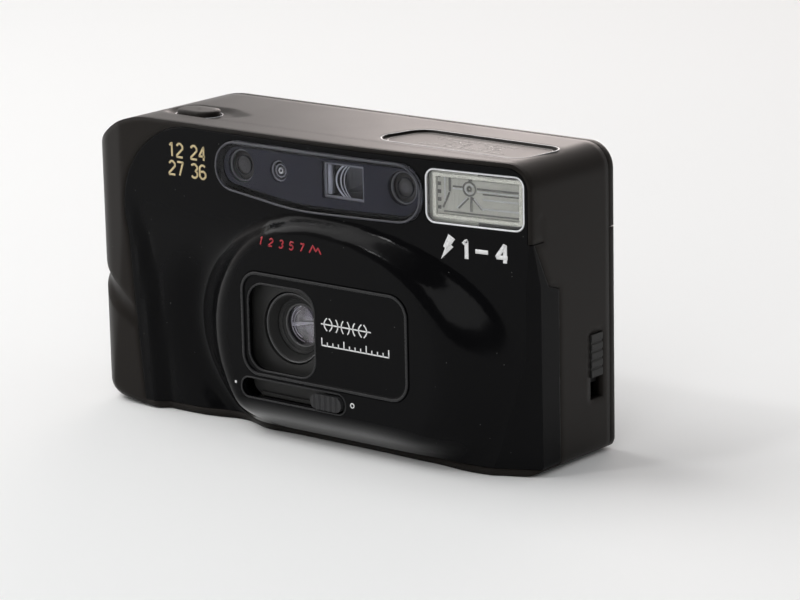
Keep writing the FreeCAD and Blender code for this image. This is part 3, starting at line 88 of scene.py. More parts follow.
class NodeTree:
    """The nodes of a material or world, all added by one method."""

    def __init__(self, owner, output_kind):
        owner.use_nodes = True
        self.owner = owner
        self.nodes = owner.node_tree.nodes
        self.links = owner.node_tree.links
        self.nodes.clear()
        self.out = self.nodes.new(output_kind)

    def node(self, kind, settings=None, inputs=None, output=0):
        """Add a node: its settings first, then the values or links of its sockets."""
        made = self.nodes.new(kind)
        for key, value in (settings or {}).items():
            setattr(made, key, value)
        for key, value in (inputs or {}).items():
            self.feed(made.inputs[key], value)
        return Value(self, made.outputs[output])

    def feed(self, socket, value):
        """Link a socket, or set it; a colour of three parts gets a full alpha."""
        inner = value.socket if isinstance(value, Value) else value
        if isinstance(inner, bpy.types.NodeSocket):
            self.links.new(inner, socket)
        elif isinstance(inner, tuple) and socket.type == "RGBA":
            socket.default_value = (*inner, 1.0)
        else:
            socket.default_value = inner

    def split(self, vector):
        """The three numbers of a vector."""
        first = self.node("ShaderNodeSeparateXYZ", inputs={"Vector": vector})
        return [Value(self, output) for output in first.socket.node.outputs]

    def ray(self, kind):
        """1 where the surface is met by a ray of that kind."""
        return self.node("ShaderNodeLightPath", output="Is %s Ray" % kind)

    def blend(self, factor, first, second):
        """A shader that turns from the first to the second."""
        return self.node("ShaderNodeMixShader", inputs={"Fac": factor, 1: first, 2: second})

    def finish(self, shader):
        """Link the shader to the output, and give back the finished material or world."""
        self.links.new(shader.socket, self.out.inputs["Surface"])
        return self.owner


class Material(NodeTree):
    """A material, with the patterns that this object's finishes use."""

    def __init__(self, name):
        super().__init__(bpy.data.materials.new(name), "ShaderNodeOutputMaterial")

    def place(self):
        """Object coordinates, in metres."""
        return self.node("ShaderNodeTexCoord", output="Object")

    def noise(self, scale, detail=2.0, roughness=0.5, stretch=None):
        """Noise over the object's coordinates, which stretch multiplies first."""
        where = self.place()
        if stretch:
            where = self.node("ShaderNodeMapping", inputs={"Vector": where, "Scale": stretch})
        return self.node("ShaderNodeTexNoise", inputs={"Vector": where, "Scale": scale, "Detail": detail,
                                                       "Roughness": roughness})

    def specks(self, cells_per_metre, radius, share):
        """Small round spots: 1 on them. radius is in cells, share is how many cells hold one."""
        settings = {"feature": "F1"}
        inputs = {"Vector": self.place(), "Scale": cells_per_metre}
        near = self.node("ShaderNodeTexVoronoi", settings, inputs, output="Distance")
        pick = self.node("ShaderNodeTexVoronoi", settings, inputs, output="Color")
        chance = self.node("ShaderNodeSeparateColor", inputs={"Color": pick})
        return near.below(radius) * chance.below(share)

    def mix(self, factor, first, second):
        """A colour that turns from the first to the second."""
        return self.node("ShaderNodeMix", {"data_type": "RGBA"}, {0: factor, 6: first, 7: second}, output=2)

    def rounded(self, radius, height=None, strength=1.0, distance=0.1 * MM):
        """Normal with edges softened to a radius, and a bump on top of it where a height is given."""
        normal = self.node("ShaderNodeBevel", {"samples": 4}, {"Radius": radius})
        if height is None:
            return normal
        return self.node("ShaderNodeBump", inputs={"Height": height, "Strength": strength,
                                                   "Distance": distance, "Normal": normal})

    def surface(self, **inputs):
        """The finished material: a Principled shader whose sockets are named with underscores."""
        sockets = {key.replace("_", " "): value for key, value in inputs.items()}
        return self.finish(self.node("ShaderNodeBsdfPrincipled", inputs=sockets, output="BSDF"))


class World(NodeTree):
    """The studio's surroundings, built with the same calls as a material."""

    def __init__(self, name):
        super().__init__(bpy.data.worlds.new(name), "ShaderNodeOutputWorld")

    def direction(self):
        """The looking direction's three parts."""
        return self.split(self.node("ShaderNodeTexCoord", output="Generated"))

    def background(self, colour, strength):
        """A glow of one colour."""
        return self.node("ShaderNodeBackground", inputs={"Color": colour, "Strength": strength})


# Finishes

def gloss_cover():
    """Polished black plastic with dust, faint smears and a slight waviness.

    A clear coat on the chin alone, under the lens, gives back the light of the table.
    """
    m = Material("polished_black")
    dust = m.specks(cells_per_metre=700.0, radius=0.07, share=0.10)
    smear = m.noise(60.0, detail=4.0).step(0.45, 0.75)
    rough = 0.10 + 0.10 * smear + 0.03 * m.noise(900.0) + 0.4 * dust
    wave = m.noise(35.0, detail=1.0) + 0.02 * m.noise(5000.0, detail=1.0)
    x, _, z = m.split(m.place())
    low = 1.0 - z.step(4.5 * MM, 9.5 * MM)
    under_lens = (1.0 - x.step(22.0 * MM, 46.0 * MM)) * x.step(-22.0 * MM, -9.0 * MM)
    return m.surface(Base_Color=m.mix(dust, (0.0030, 0.0030, 0.0034), (0.10, 0.10, 0.095)),
                     Roughness=rough, Specular_IOR_Level=0.07,
                     Coat_Weight=low * under_lens, Coat_Roughness=0.18, Coat_IOR=2.0,
                     Normal=m.rounded(0.35 * MM, wave, strength=0.12, distance=0.4 * MM))


def satin_shell():
    """Semi-matt black plastic with a fine grain."""
    m = Material("satin_black")
    grain = m.noise(7000.0)
    cloud = m.noise(45.0, detail=3.0)
    dust = m.specks(cells_per_metre=500.0, radius=0.05, share=0.12)
    black = m.mix(cloud, (0.0090, 0.0078, 0.0068), (0.0130, 0.0112, 0.0098))
    return m.surface(Base_Color=m.mix(dust, black, (0.12, 0.11, 0.10)),
                     Roughness=0.27 + 0.10 * cloud + 0.05 * grain,
                     Specular_IOR_Level=0.12, Specular_Tint=(1.0, 0.93, 0.89),
                     Normal=m.rounded(2.4 * MM, grain, strength=0.10, distance=0.08 * MM))


def matt_plastic(name, colour, lighter, rough=0.55, grain_scale=4000.0, bevel=0.15, shine=0.5):
    """Moulded part with a fine grain and a slight change of tone."""
    m = Material(name)
    grain = m.noise(grain_scale)
    cloud = m.noise(90.0, detail=3.0)
    return m.surface(Base_Color=m.mix(cloud, colour, lighter), Roughness=rough + 0.12 * grain,
                     Specular_IOR_Level=shine,
                     Normal=m.rounded(bevel * MM, grain, strength=0.12, distance=0.05 * MM))


def metal(name, colour, darker, rough, stretch=(1.0, 1.0, 1.0)):
    """Bare metal with drawn lines and a slight stain."""
    m = Material(name)
    lines = m.noise(2500.0, 3.0, 0.6, stretch)
    stain = m.noise(160.0, detail=3.0)
    return m.surface(Base_Color=m.mix(stain, colour, darker), Metallic=1.0, Roughness=rough + 0.18 * lines,
                     Normal=m.rounded(0.08 * MM, lines, strength=0.15, distance=0.03 * MM))


def glass(name, tint, rough, ior=1.5):
    """Clear or tinted moulded glass, with faint dust on it."""
    m = Material(name)
    dust = m.specks(cells_per_metre=1300.0, radius=0.05, share=0.07)
    return m.surface(Base_Color=m.mix(dust, tint, (0.5, 0.5, 0.5)), Roughness=rough + 0.35 * dust,
                     Transmission_Weight=1.0, IOR=ior, Normal=m.rounded(0.1 * MM))


def ink(name, colour, rough=0.45):
    """Printed ink, slightly uneven and worn thin in small spots."""
    m = Material(name)
    worn = m.noise(2600.0, detail=3.0).step(0.55, 0.8)
    dark = tuple(0.55 * part for part in colour)
    return m.surface(Base_Color=m.mix(worn, colour, dark), Roughness=rough + 0.1 * worn)


black_gloss = gloss_cover()
black_satin = satin_shell()
black_matt = matt_plastic("matt_black", (0.010, 0.010, 0.010), (0.018, 0.018, 0.017))
black_rubber = matt_plastic("soft_black", (0.014, 0.014, 0.014), (0.022, 0.022, 0.021), rough=0.7)
acetal = matt_plastic("acetal_white", (0.72, 0.71, 0.66), (0.80, 0.79, 0.75), rough=0.4)
board_green = matt_plastic("coated_board", (0.02, 0.09, 0.04), (0.03, 0.13, 0.06), rough=0.35)
sleeve = matt_plastic("shrunk_sleeve", (0.012, 0.012, 0.03), (0.02, 0.02, 0.05), rough=0.25)
mask_blue = matt_plastic("mask_slate", (0.014, 0.014, 0.028), (0.017, 0.017, 0.033), rough=0.5,
                         grain_scale=900.0)
emitter = matt_plastic("emitter_lens", (0.09, 0.085, 0.077), (0.12, 0.113, 0.10), rough=0.12)
knob_grey = matt_plastic("knob_grey", (0.020, 0.020, 0.021), (0.032, 0.032, 0.033), rough=0.25,
                         bevel=0.12, shine=0.25)
rim_black = matt_plastic("rim_black", (0.020, 0.020, 0.021), (0.028, 0.028, 0.029), rough=0.22,
                         bevel=0.1, shine=0.2)
rim_clear = matt_plastic("rim_polished", (0.040, 0.041, 0.050), (0.048, 0.049, 0.060), rough=0.12)
rim_grey = matt_plastic("rim_grey", (0.42, 0.42, 0.43), (0.50, 0.50, 0.51), rough=0.2)
rim_pale = matt_plastic("rim_pale", (0.20, 0.20, 0.20), (0.25, 0.25, 0.25), rough=0.2)
rim_dark = matt_plastic("rim_dark", (0.065, 0.065, 0.067), (0.085, 0.085, 0.087), rough=0.15)
bar_white = matt_plastic("bar_white", (0.85, 0.86, 0.88), (0.90, 0.91, 0.93), rough=0.25)
prism_pale = matt_plastic("prism_pale", (0.56, 0.555, 0.51), (0.78, 0.775, 0.72), rough=0.2,
                          grain_scale=1800.0)
prism_shade = matt_plastic("prism_shade", (0.09, 0.088, 0.08), (0.16, 0.155, 0.14), rough=0.2)

steel = metal("rolled_steel", (0.62, 0.61, 0.60), (0.50, 0.49, 0.48), 0.22, (1.0, 1.0, 12.0))
blade_black = metal("blackened_steel", (0.03, 0.03, 0.03), (0.05, 0.05, 0.05), 0.3)
brass = metal("turned_brass", (0.78, 0.58, 0.26), (0.62, 0.44, 0.18), 0.24)
foil = metal("bright_film", (0.62, 0.615, 0.57), (0.50, 0.495, 0.46), 0.16)
silvered = metal("silvered_frame", (0.80, 0.80, 0.77), (0.70, 0.70, 0.67), 0.22)

smoked = glass("smoked_acrylic", (0.70, 0.71, 0.77), 0.03, 1.2)
clear = glass("clear_acrylic", (0.96, 0.97, 0.96), 0.01)
coated = glass("coated_glass", (0.90, 0.88, 0.96), 0.0, 1.62)
lamp_orange = glass("lamp_orange", (0.85, 0.20, 0.05), 0.15)

gold_ink = ink("gold_ink", (0.62, 0.50, 0.27), 0.38)
red_ink = ink("red_ink", (0.42, 0.012, 0.025))
white_ink = ink("white_ink", (0.82, 0.82, 0.82))
grey_ink = ink("grey_ink", (0.32, 0.30, 0.285), 0.35)

FINISHES = (
    (black_gloss, ("front_cover", "lens_trim_plate")),
    (black_satin, ("main_casing", "rear_cover", "back_door", "battery_door", "shutter_button")),
    (black_rubber, ("eyepiece_surround",)),
    (black_matt, ("chassis", "viewfinder_body", "shutter_housing", "lens_ring", "focus_cell", "barrier_blade",
                  "barrier_guide", "take_up_spool", "sprocket", "door_latch", "rewind_button",
                  "pressure_plate", "strap_lug")),
    (knob_grey, ("barrier_knob",)),
    (mask_blue, ("window_mask",)),
    (emitter, ("af_units",)),
    (acetal, ("take_up_gear", "idler_gear_1", "idler_gear_2", "idler_gear_3", "idler_gear_4", "idler_gear_5",
              "rewind_fork", "counter_drum")),
    (board_green, ("main_board", "flash_board", "release_switch")),
    (sleeve, ("flash_capacitor",)),
    (steel, ("battery_door_pin", "pressure_spring", "button_spring", "bridge_contact", "battery_contacts",
             "winding_motor")),
    (blade_black, ("hinge_pin", "shutter_blade_left", "shutter_blade_right")),
    (brass, ("tripod_socket",)),
    (foil, ("flash_reflector",)),
    (smoked, ("window_strip",)),
    (clear, ("finder_front_lens", "eyepiece_lens", "flash_window", "flash_tube", "film_window",
             "counter_window", "light_sensor", "frame_mirror")),
    (coated, ("front_element", "middle_element", "rear_element")),
    (lamp_orange, ("ready_lamp",)),
)


def dress_nodes():
    """Give every CAD node its finish; a node that has none stops the script."""
    finish_of = {name: material for material, names in FINISHES for name in names}
    for name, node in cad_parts.items():
        node.data.materials.clear()
        node.data.materials.append(finish_of[name])


dress_nodes()


# Sizes and places, in millimetres; what the frame shows is read from it, to a hundredth

def low_and_high(name):
    """Lowest and highest corner of a CAD node."""
    return [np.round(np.array(corner) / MM, 2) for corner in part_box(name)]


def middle_of(name):
    """Middle of a CAD node's box."""
    low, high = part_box(name)
    return np.round((np.array(low) + np.array(high)) / 2 / MM, 2)


TOP = low_and_high("main_casing")[1][2]
LABEL_FLOOR = TOP - 0.5
BUTTON_DISH = TOP - 0.7
BACK = low_and_high("back_door")[1][1]
LENS_X, _, LENS_Z = middle_of("lens_ring")
BUTTON_X, BUTTON_Y, _ = middle_of("shutter_button")
SENSOR_X, _, WINDOW_Z = middle_of("light_sensor")
FINDER_X = middle_of("finder_front_lens")[0]
DRUM_X, DRUM_Y, _ = middle_of("counter_drum")
DRUM_RADIUS = 6.4
TRIPOD_Y = middle_of("tripod_socket")[1]
TRIM_RIM = low_and_high("lens_trim_plate")[0][1]
TRIM_FACE = TRIM_RIM + 0.35

UNIT_RADIUS = 5.0
EMITTER_X = low_and_high("af_units")[0][0] + UNIT_RADIUS
RECEIVER_X = low_and_high("af_units")[1][0] - UNIT_RADIUS

# The front cover's sizes, the same as in the part

BODY_HALF = 65.0
FRONT_REACH = 20.5
SIDE_REACH = 15.0
POD_REACH = 24.0
POD_X, POD_Z = 8.0, 24.0
POD_LEFT, POD_RIGHT = 41.0, 58.0
POD_UP, POD_DOWN = 31.0, 33.0
FLANK_LEFT, FLANK_RIGHT = 0.61, 0.58
FLANK_UP, FLANK_DOWN = 0.86, 0.78
LEAN_HEIGHT, LEAN_DEPTH = 50.0, 2.0
VALLEY_DEPTH, VALLEY_WIDTH = 2.4, 0.13
RECESS_DEPTH, RECESS_SIDE = 2.0, 2.8
CREASE_LOW_X, CREASE_RUN = -43.3, 4.8
CREASE_LOW_Z, CREASE_HEIGHT = 4.8, 47.6
CHIN_LOW, CHIN_HIGH = -2.0, 8.6
CHIN_REACH, CHIN_DROP = 16.0, 2.0
LEFT_FADE = (-22.0, 0.0)
RECESS_FADE = (30.0, 57.0)
VALLEY_OUT = 1.03
VALLEY_FADE = (28.0, 54.0)
VALLEY_END = (-16.0, -6.0)
DROP_FADE = (35.0, 52.0)


# Mesh from arrays

HALF_TURN = np.linspace(0, math.pi, 9)


def make_piece(name, vertices, faces, material, body):
    """A mesh from an array of points in millimetres and a list of faces, smooth all over, on a body."""
    mesh = bpy.data.meshes.new(name)
    mesh.from_pydata((np.asarray(vertices) * MM).tolist(), [], faces)
    mesh.polygons.foreach_set("use_smooth", np.ones(len(mesh.polygons), bool))
    mesh.materials.append(material)
    mesh.update()
    piece = bpy.data.objects.new(name, mesh)
    bpy.context.scene.collection.objects.link(piece)
    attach(piece, body)


def grid_faces(rows, columns, wrap_rows, wrap_columns):
    """Quads of a grid of points, as an array of corner numbers."""
    r = np.arange(rows if wrap_rows else rows - 1)[:, None]
    c = np.arange(columns if wrap_columns else columns - 1)[None, :]
    r2, c2 = (r + 1) % rows, (c + 1) % columns
    quads = np.stack([r * columns + c, r * columns + c2, r2 * columns + c2, r2 * columns + c], axis=-1)
    return quads.reshape(-1, 4)


def skin(name, grid, material, body, wrap_rows=False, turn=False):
    """Surface over a grid whose rows are closed loops.

    Its first and last row are joined where the rows wrap, and are closed by one face each where not.
    """
    rows, columns = grid.shape[:2]
    quads = grid_faces(rows, columns, wrap_rows, True)
    if turn:
        quads = quads[:, ::-1]
    faces = quads.tolist()
    if not wrap_rows:
        first = list(range(columns))
        last = [(rows - 1) * columns + i for i in range(columns)]
        faces.append(first if turn else first[::-1])
        faces.append(last[::-1] if turn else last)
    make_piece(name, grid.reshape(-1, 3), faces, material, body)


def rounded_loop(corners, per_corner=14):
    """Closed outline through (u, v, radius) corners: every corner is an arc about its own centre."""
    parts = []
    count = len(corners)
    for i, (u, v, radius) in enumerate(corners):
        here = np.array([u, v], float)
        before = np.array(corners[i - 1][:2], float) - here
        after = np.array(corners[(i + 1) % count][:2], float) - here
        before, after = before / np.linalg.norm(before), after / np.linalg.norm(after)
        half = math.acos(float(np.clip(before @ after, -1, 1))) / 2
        middle = (before + after) / np.linalg.norm(before + after)
        centre = here + middle * radius / math.sin(half)
        start = here + before * radius / math.tan(half) - centre
        sweep = math.pi - 2 * half
        side = np.sign(before[0] * after[1] - before[1] * after[0])
        angle = -side * np.linspace(0, sweep, per_corner)
        cos, sin = np.cos(angle), np.sin(angle)
        reach = np.stack([start[0] * cos - start[1] * sin, start[0] * sin + start[1] * cos], -1)
        parts.append(centre + reach)
    return np.concatenate(parts)


def rectangle(u0, u1, v0, v1, radius, grow=0.0):
    """Corners of a rectangle with one radius, pushed out on every side by grow."""
    u0, u1, v0, v1 = u0 - grow, u1 + grow, v0 - grow, v1 + grow
    return [(u0, v0, radius), (u1, v0, radius), (u1, v1, radius), (u0, v1, radius)]


def front_rectangle(name, radius, grow=0.0):
    """Corners of a CAD node's box as it is seen from the front."""
    low, high = low_and_high(name)
    return rectangle(low[0], high[0], low[2], high[2], radius, grow)


def closed(loop, overlap=2):
    """The outline with its first points once more at its end."""
    return np.vstack([loop, loop[:overlap]])


def along_path(path, places):
    """Points of a path, at the distances that places works out from the running lengths of its points."""
    length = np.concatenate([[0], np.cumsum(np.linalg.norm(np.diff(path, axis=0), axis=1))])
    at = places(length)
    return np.stack([np.interp(at, length, path[:, 0]), np.interp(at, length, path[:, 1])], -1)


def resampled(loop, count):
    """The same outline with evenly spaced points."""
    return along_path(closed(loop, 1), lambda length: np.linspace(0, length[-1], count, endpoint=False))


def dense(path, step=0.25):
    """The same path with its own points, and others no further apart than step."""
    return along_path(np.asarray(path, float), lambda length: np.union1d(
        np.linspace(0, length[-1], max(2, int(length[-1] / step))), length))


def twice_area(loop):
    """Twice the area in an outline: above 0 where it runs round to the left, below 0 to the right."""
    return np.sum(loop[:, 0] * np.roll(loop[:, 1], -1) - np.roll(loop[:, 0], -1) * loop[:, 1])


def inset(loop, distance):
    """Outline moved inwards along its normals."""
    run = np.roll(loop, -1, 0) - np.roll(loop, 1, 0)
    run /= np.linalg.norm(run, axis=1, keepdims=True)
    inward = np.stack([-run[:, 1], run[:, 0]], -1) * np.sign(twice_area(loop))
    return loop + inward * distance


def frame_ring(name, corners, front, profile, material, count=160):
    """A closed profile of (inwards, backwards) pairs carried round an outline that faces the front."""
    loop = resampled(rounded_loop(corners), count)
    rows = []
    for inwards, backwards in profile:
        p = inset(loop, inwards)
        rows.append(np.stack([p[:, 0], front(p[:, 0], p[:, 1]) + backwards, p[:, 1]], -1))
    skin(name, np.stack(rows), material, "camera", wrap_rows=True, turn=twice_area(loop) < 0)


def turned(name, profile, centre, material, body, axis="y", count=96):
    """Ring: a closed profile of (radius, height) pairs carried through a full turn about an axis.

    Heights run to the front for axis y and up for axis z.
    """
    profile = np.asarray(profile, float)
    angle = np.linspace(0, 2 * math.pi, count, endpoint=False)
    r, h = profile[:, 0][:, None], profile[:, 1][:, None]
    a, b = r * np.cos(angle), r * np.sin(angle)
    level = np.broadcast_to(h, a.shape)
    grid = np.stack([a, -level, b], -1) if axis == "y" else np.stack([a, b, level], -1)
    skin(name, grid + np.asarray(centre, float), material, body, wrap_rows=True, turn=axis == "y")


def ring(name, centre, inner, outer, deep, material, body="camera"):
    """Ring about an axis that points to the front: its front edge is a half round, its back is flat."""
    middle, half = (inner + outer) / 2, (outer - inner) / 2
    profile = [(middle + half * math.cos(a), half * math.sin(a)) for a in HALF_TURN]
    turned(name, profile + [(inner, -deep), (outer, -deep)], centre, material, body)


def round_bead(width, height, sunk=0.12):
    """Half-round bead as (inwards, backwards) pairs, closed at its back."""
    bead = [(width / 2 * (1 - math.cos(a)), -height * math.sin(a)) for a in HALF_TURN]
    return bead + [(width, sunk), (0.0, sunk)]


# Faces that the pieces lie on; the first ones take x and z, and give the depth

def flat(depth):
    """A face that lies at one depth."""
    return lambda x, z: 0.0 * x + depth


def smooth_step(value, start, end):
    """0 up to start, 1 from end on, and between them the cube of t times (10 - 15 t + 6 t squared)."""
    t = np.clip((value - start) / (end - start), 0.0, 1.0)
    return t ** 3 * (10.0 - 15.0 * t + 6.0 * t * t)


def plan_front(x, z=0.0):
    """The front in plan: straight on the left half, a parabola on the right half."""
    return -(FRONT_REACH - (FRONT_REACH - SIDE_REACH) * (np.maximum(x, 0.0) / BODY_HALF) ** 2) + 0.0 * z


def cover_front(x, z):
    """The sculpted front: plan curve, less lean, finger recess, valley and drop, plus the oval lens pod."""
    across = (x - POD_X) / np.where(x < POD_X, POD_LEFT, POD_RIGHT)
    along = (z - POD_Z) / np.where(z > POD_Z, POD_UP, POD_DOWN)
    out = np.hypot(across, along)
    sideways = (across / np.maximum(out, 1e-9)) ** 2
    start = (sideways * np.where(x < POD_X, FLANK_LEFT, FLANK_RIGHT)
             + (1 - sideways) * np.where(z > POD_Z, FLANK_UP, FLANK_DOWN))
    pod = 1.0 - smooth_step(out, start, 1.0)
    left = 1.0 - smooth_step(x, *LEFT_FADE)
    lean = LEAN_DEPTH * (np.maximum(LEAN_HEIGHT - z, 0.0) / LEAN_HEIGHT) ** 1.5
    crease = CREASE_LOW_X - CREASE_RUN * (np.maximum(z - CREASE_LOW_Z, 0.0) / CREASE_HEIGHT) ** 2
    hollow = RECESS_DEPTH * smooth_step(x, crease - RECESS_SIDE, crease)
    recess = hollow * (1.0 - smooth_step(z, *RECESS_FADE))
    ditch = VALLEY_DEPTH * np.exp(-((out - VALLEY_OUT) / VALLEY_WIDTH) ** 2)
    valley = ditch * (1.0 - smooth_step(z, *VALLEY_FADE)) * (1.0 - smooth_step(x, *VALLEY_END))
    chin = smooth_step(z, CHIN_LOW, CHIN_HIGH)
    drop = CHIN_DROP * (1.0 - chin) * (1.0 - left) * (1.0 - smooth_step(x, *DROP_FADE))
    low = -plan_front(x) - left * (lean + recess + valley) - drop
    return -(low + (CHIN_REACH + (POD_REACH - CHIN_REACH) * chin - low) * pod)


def on_front(face):
    """Places a drawing of x and z on a face: each point goes to the face's depth, less its height."""
    return lambda x, z, height: np.stack([x, face(x, z) - height, z], -1)


def on_top(level):
    """Places a drawing of x and y on a level face that looks up."""
    return lambda x, y, height: np.stack([x, y, level + height + 0.0 * x], -1)


def on_back(depth):
    """Places a drawing seen from behind, whose first number runs to the viewer's right."""
    return lambda u, z, height: np.stack([-u, depth + height + 0.0 * u, z], -1)


def on_base(x, y, height):
    """Places a drawing of x and depth on the base, seen from below."""
    return np.stack([x, -y, -height + 0.0 * x], -1)


def on_drum(u, z, height):
    """Places a drawing on the counter drum's rim, seen from behind: u runs round the rim."""
    radius, turn = DRUM_RADIUS + height, u / DRUM_RADIUS
    return np.stack([DRUM_X - radius * np.sin(turn), DRUM_Y + radius * np.cos(turn), z], -1)


on_cover = on_front(cover_front)
on_trim = on_front(flat(TRIM_FACE))
on_label = on_top(LABEL_FLOOR)


# Printed marks: flat bars of ink that follow the face under them

SUNK = 0.1
DIGIT_WIDE, DIGIT_TALL, WORD_GAP = 3.0, 6.0, 3.2
DIGITS = {
    "1": [(0.5, 4.8), (1.7, 6), (1.7, 0)],
    "2": [(0, 5), (1, 6), (2, 6), (3, 5), (3, 3.8), (0, 0.8), (0, 0), (3, 0)],
    "3": [(0, 5.4), (1, 6), (2, 6), (3, 5), (3, 4), (2, 3.1), (3, 2.2), (3, 1), (2, 0), (1, 0), (0, 0.6)],
    "4": [(2.3, 0), (2.3, 6), (0, 1.8), (3, 1.8)],
    "5": [(3, 6), (0.2, 6), (0, 3.2), (1.9, 3.6), (3, 2.6), (3, 1), (2, 0), (0.9, 0), (0, 0.7)],
    "6": [(2.8, 5.4), (2, 6), (1, 6), (0, 5), (0, 1), (1, 0), (2, 0), (3, 1), (3, 2.4), (2, 3.3), (0, 3)],
    "7": [(0, 6), (3, 6), (1.1, 0)],
}


def bars(name, paths, width, lay, material, body="camera", height=0.045):
    """A flat bar along each path: its edges lie half a width to each side, along the path's normal.

    The bar stands height proud of the face that lay puts it on, and SUNK into it. A list of widths has
    one for each path, and a pair is for a bar that tapers from its start to its end.
    """
    vertices, faces, total = [], [], 0
    widths = width if isinstance(width, list) else [width] * len(paths)
    for path, across in zip(paths, widths):
        path = np.asarray(path, float)
        run = np.gradient(path, axis=0)
        run /= np.linalg.norm(run, axis=1, keepdims=True)
        side = np.stack([-run[:, 1], run[:, 0]], -1)
        ends = across if isinstance(across, tuple) else (across, across)
        half = np.linspace(*ends, len(path))[:, None] / 2
        left, right = path + side * half, path - side * half
        grid = np.stack([lay(p[:, 0], p[:, 1], h) for p, h in
                         ((left, height), (right, height), (right, -SUNK), (left, -SUNK))], 1)
        quads = grid_faces(len(path), 4, False, True) + total
        first, last = total, total + 4 * (len(path) - 1)
        faces += quads.tolist()
        faces += [[first + 3, first + 2, first + 1, first], [last, last + 1, last + 2, last + 3]]
        vertices.append(grid.reshape(-1, 3))
        total += 4 * len(path)
    make_piece(name, np.concatenate(vertices), faces, material, body)


def numbers(text, x, z, tall, breadth=0.8, slant=0.0, gap=1.6):
    """Paths of a row of digits: x, z is the lower left corner, and tall is the height of a digit.

    A digit is drawn on a field of DIGIT_WIDE by DIGIT_TALL units. Its points are spread sideways by breadth,
    and lean to the right by slant times their height.
    """
    paths = []
    unit = tall / DIGIT_TALL
    for sign in text:
        if sign == " ":
            x += WORD_GAP * unit * breadth
            continue
        p = np.asarray(DIGITS[sign], float) * unit
        paths.append(dense(np.stack([x + p[:, 0] * breadth + slant * p[:, 1], z + p[:, 1]], -1), 0.2))
        x += (DIGIT_WIDE + gap) * unit * breadth
    return paths


def arc(x, z, rx, rz, start, end, count=40):
    """Part of an ellipse about x, z, from one angle to another, in degrees."""
    angle = np.radians(np.linspace(start, end, count))
    return np.stack([x + rx * np.cos(angle), z + rz * np.sin(angle)], -1)


def film_length_mark():
    """Two rows of tall gold figures: the film lengths that the counter can follow."""
    paths = []
    for text, z in (("12 24", 63.6), ("27 36", 59.2)):
        paths += numbers(text, -37.2, z, tall=3.2, breadth=1.12, gap=1.3)
    bars("film_length_mark", paths, 0.5, on_cover, gold_ink)


def distance_mark():
    """Red row of distances, as on a focusing scale, that ends in two hills."""
    foot = 46.8
    paths = []
    for i, sign in enumerate("12357"):
        paths += numbers(sign, -6.9 + 3.1 * i, foot, tall=1.8, breadth=1.15, slant=0.22)
    paths.append(dense([(8.4, foot), (9.6, 48.6), (10.4, 47.3), (11.1, 48.2), (11.9, foot)], 0.3))
    bars("distance_mark", paths, 0.36, on_cover, red_ink)


def lens_mark():
    """White drawing of a lens group on its axis, over a divided line.

    A lens is two parabolas whose distance from its middle is the edge, plus the bulge times
    (1 - the square of the height as a share of the half height).
    """
    axis, half, line = 30.5, 1.5, 25.4
    paths = []
    for x, bulge, edge in ((13.4, 0.9, 0.3), (16.8, -0.6, 1.1), (20.2, -0.6, 1.1), (23.6, 0.9, 0.3)):
        z = np.linspace(axis - half, axis + half, 14)
        curve = bulge * (1 - ((z - axis) / half) ** 2) + edge
        paths += [np.stack([x - curve, z], -1), np.stack([x + curve, z], -1)]
    paths.append(dense([(11.3, axis), (26.0, axis)], 0.5))
    paths.append(dense([(11.3, line), (31.2, line)], 0.5))
    paths += [dense([(x, line), (x, line + (1.8 if i % 4 == 0 else 0.9))], 0.4)
              for i, x in enumerate(np.linspace(11.4, 31.1, 13))]
    bars("lens_mark", paths, 0.3, on_trim, white_ink, height=0.04)


def flash_mark():
    """White bolt, and the flash's range in plain figures."""
    bolt = [np.linspace((45.0, 54.1), (43.3, 51.3), 8), np.linspace((44.6, 52.3), (42.2, 48.8), 8)]
    dash = dense([(51.0, 51.4), (54.2, 51.4)], 0.4)
    foot, tall = 49.4, 4.1
    paths = bolt + numbers("1", 47.6, foot, tall, 1.0) + [dash] + numbers("4", 56.4, foot, tall, 1.3)
    widths = [(2.0, 1.3), (1.9, 0.05)] + [0.95] * (len(paths) - 2)
    bars("flash_mark", paths, widths, on_cover, white_ink)


def slot_marks():
    """A ring beside the knob's open end, and a dot at the shut end."""
    bars("slot_mark_open", [arc(20.1, 12.4, 0.5, 0.5, 0, 360)], 0.25, on_cover, white_ink)
    dot = np.linspace((-15.6, 12.6), (-15.0, 12.6), 3)
    bars("slot_mark_shut", [dot], 0.6, on_cover, white_ink)


def label_marks():
    """The sunk label on the top: a thin frame line, and a film strip drawn with its perforations."""
    frame_line = rounded_loop([(17.0, -9.6, 4.2), (57.5, -9.6, 3.2), (59.4, 3.6, 3.2), (20.6, 3.6, 4.2)])
    paths = [closed(frame_line, 1)]
    paths += [dense([(x, y), (x + 1.2, y)], 0.4) for x in np.arange(28.0, 50.0, 2.6) for y in (-5.6, -0.4)]
    paths += [dense([(27.0, y), (51.4, y)], 0.6) for y in (-6.6, 0.6)]
    paths += numbers("24 36", 33.4, -4.3, tall=2.9, breadth=1.5)
    bars("label_marks", paths, 0.3, on_label, grey_ink, height=0.03)


film_length_mark()
distance_mark()
lens_mark()
flash_mark()
slot_marks()
label_marks()


# Windows; outlines are lists of (x, z, radius) corners

FINDER_FACE = float(plan_front(FINDER_X)) + 2.0
STRIP = [(-22.0, 69.5, 6.2), (-22.0, 58.2, 5.4), (2.0, 55.1, 90.0), (37.6, 55.9, 6.4), (37.6, 69.5, 6.4)]
FLASH = front_rectangle("flash_window", 2.4)


def strip_rim():
    """Bead along the strip's rim, which rounds its edge."""
    frame_ring("strip_rim", STRIP, lambda x, z: plan_front(x) - 0.9, round_bead(0.5, 0.16), rim_clear,
               count=260)


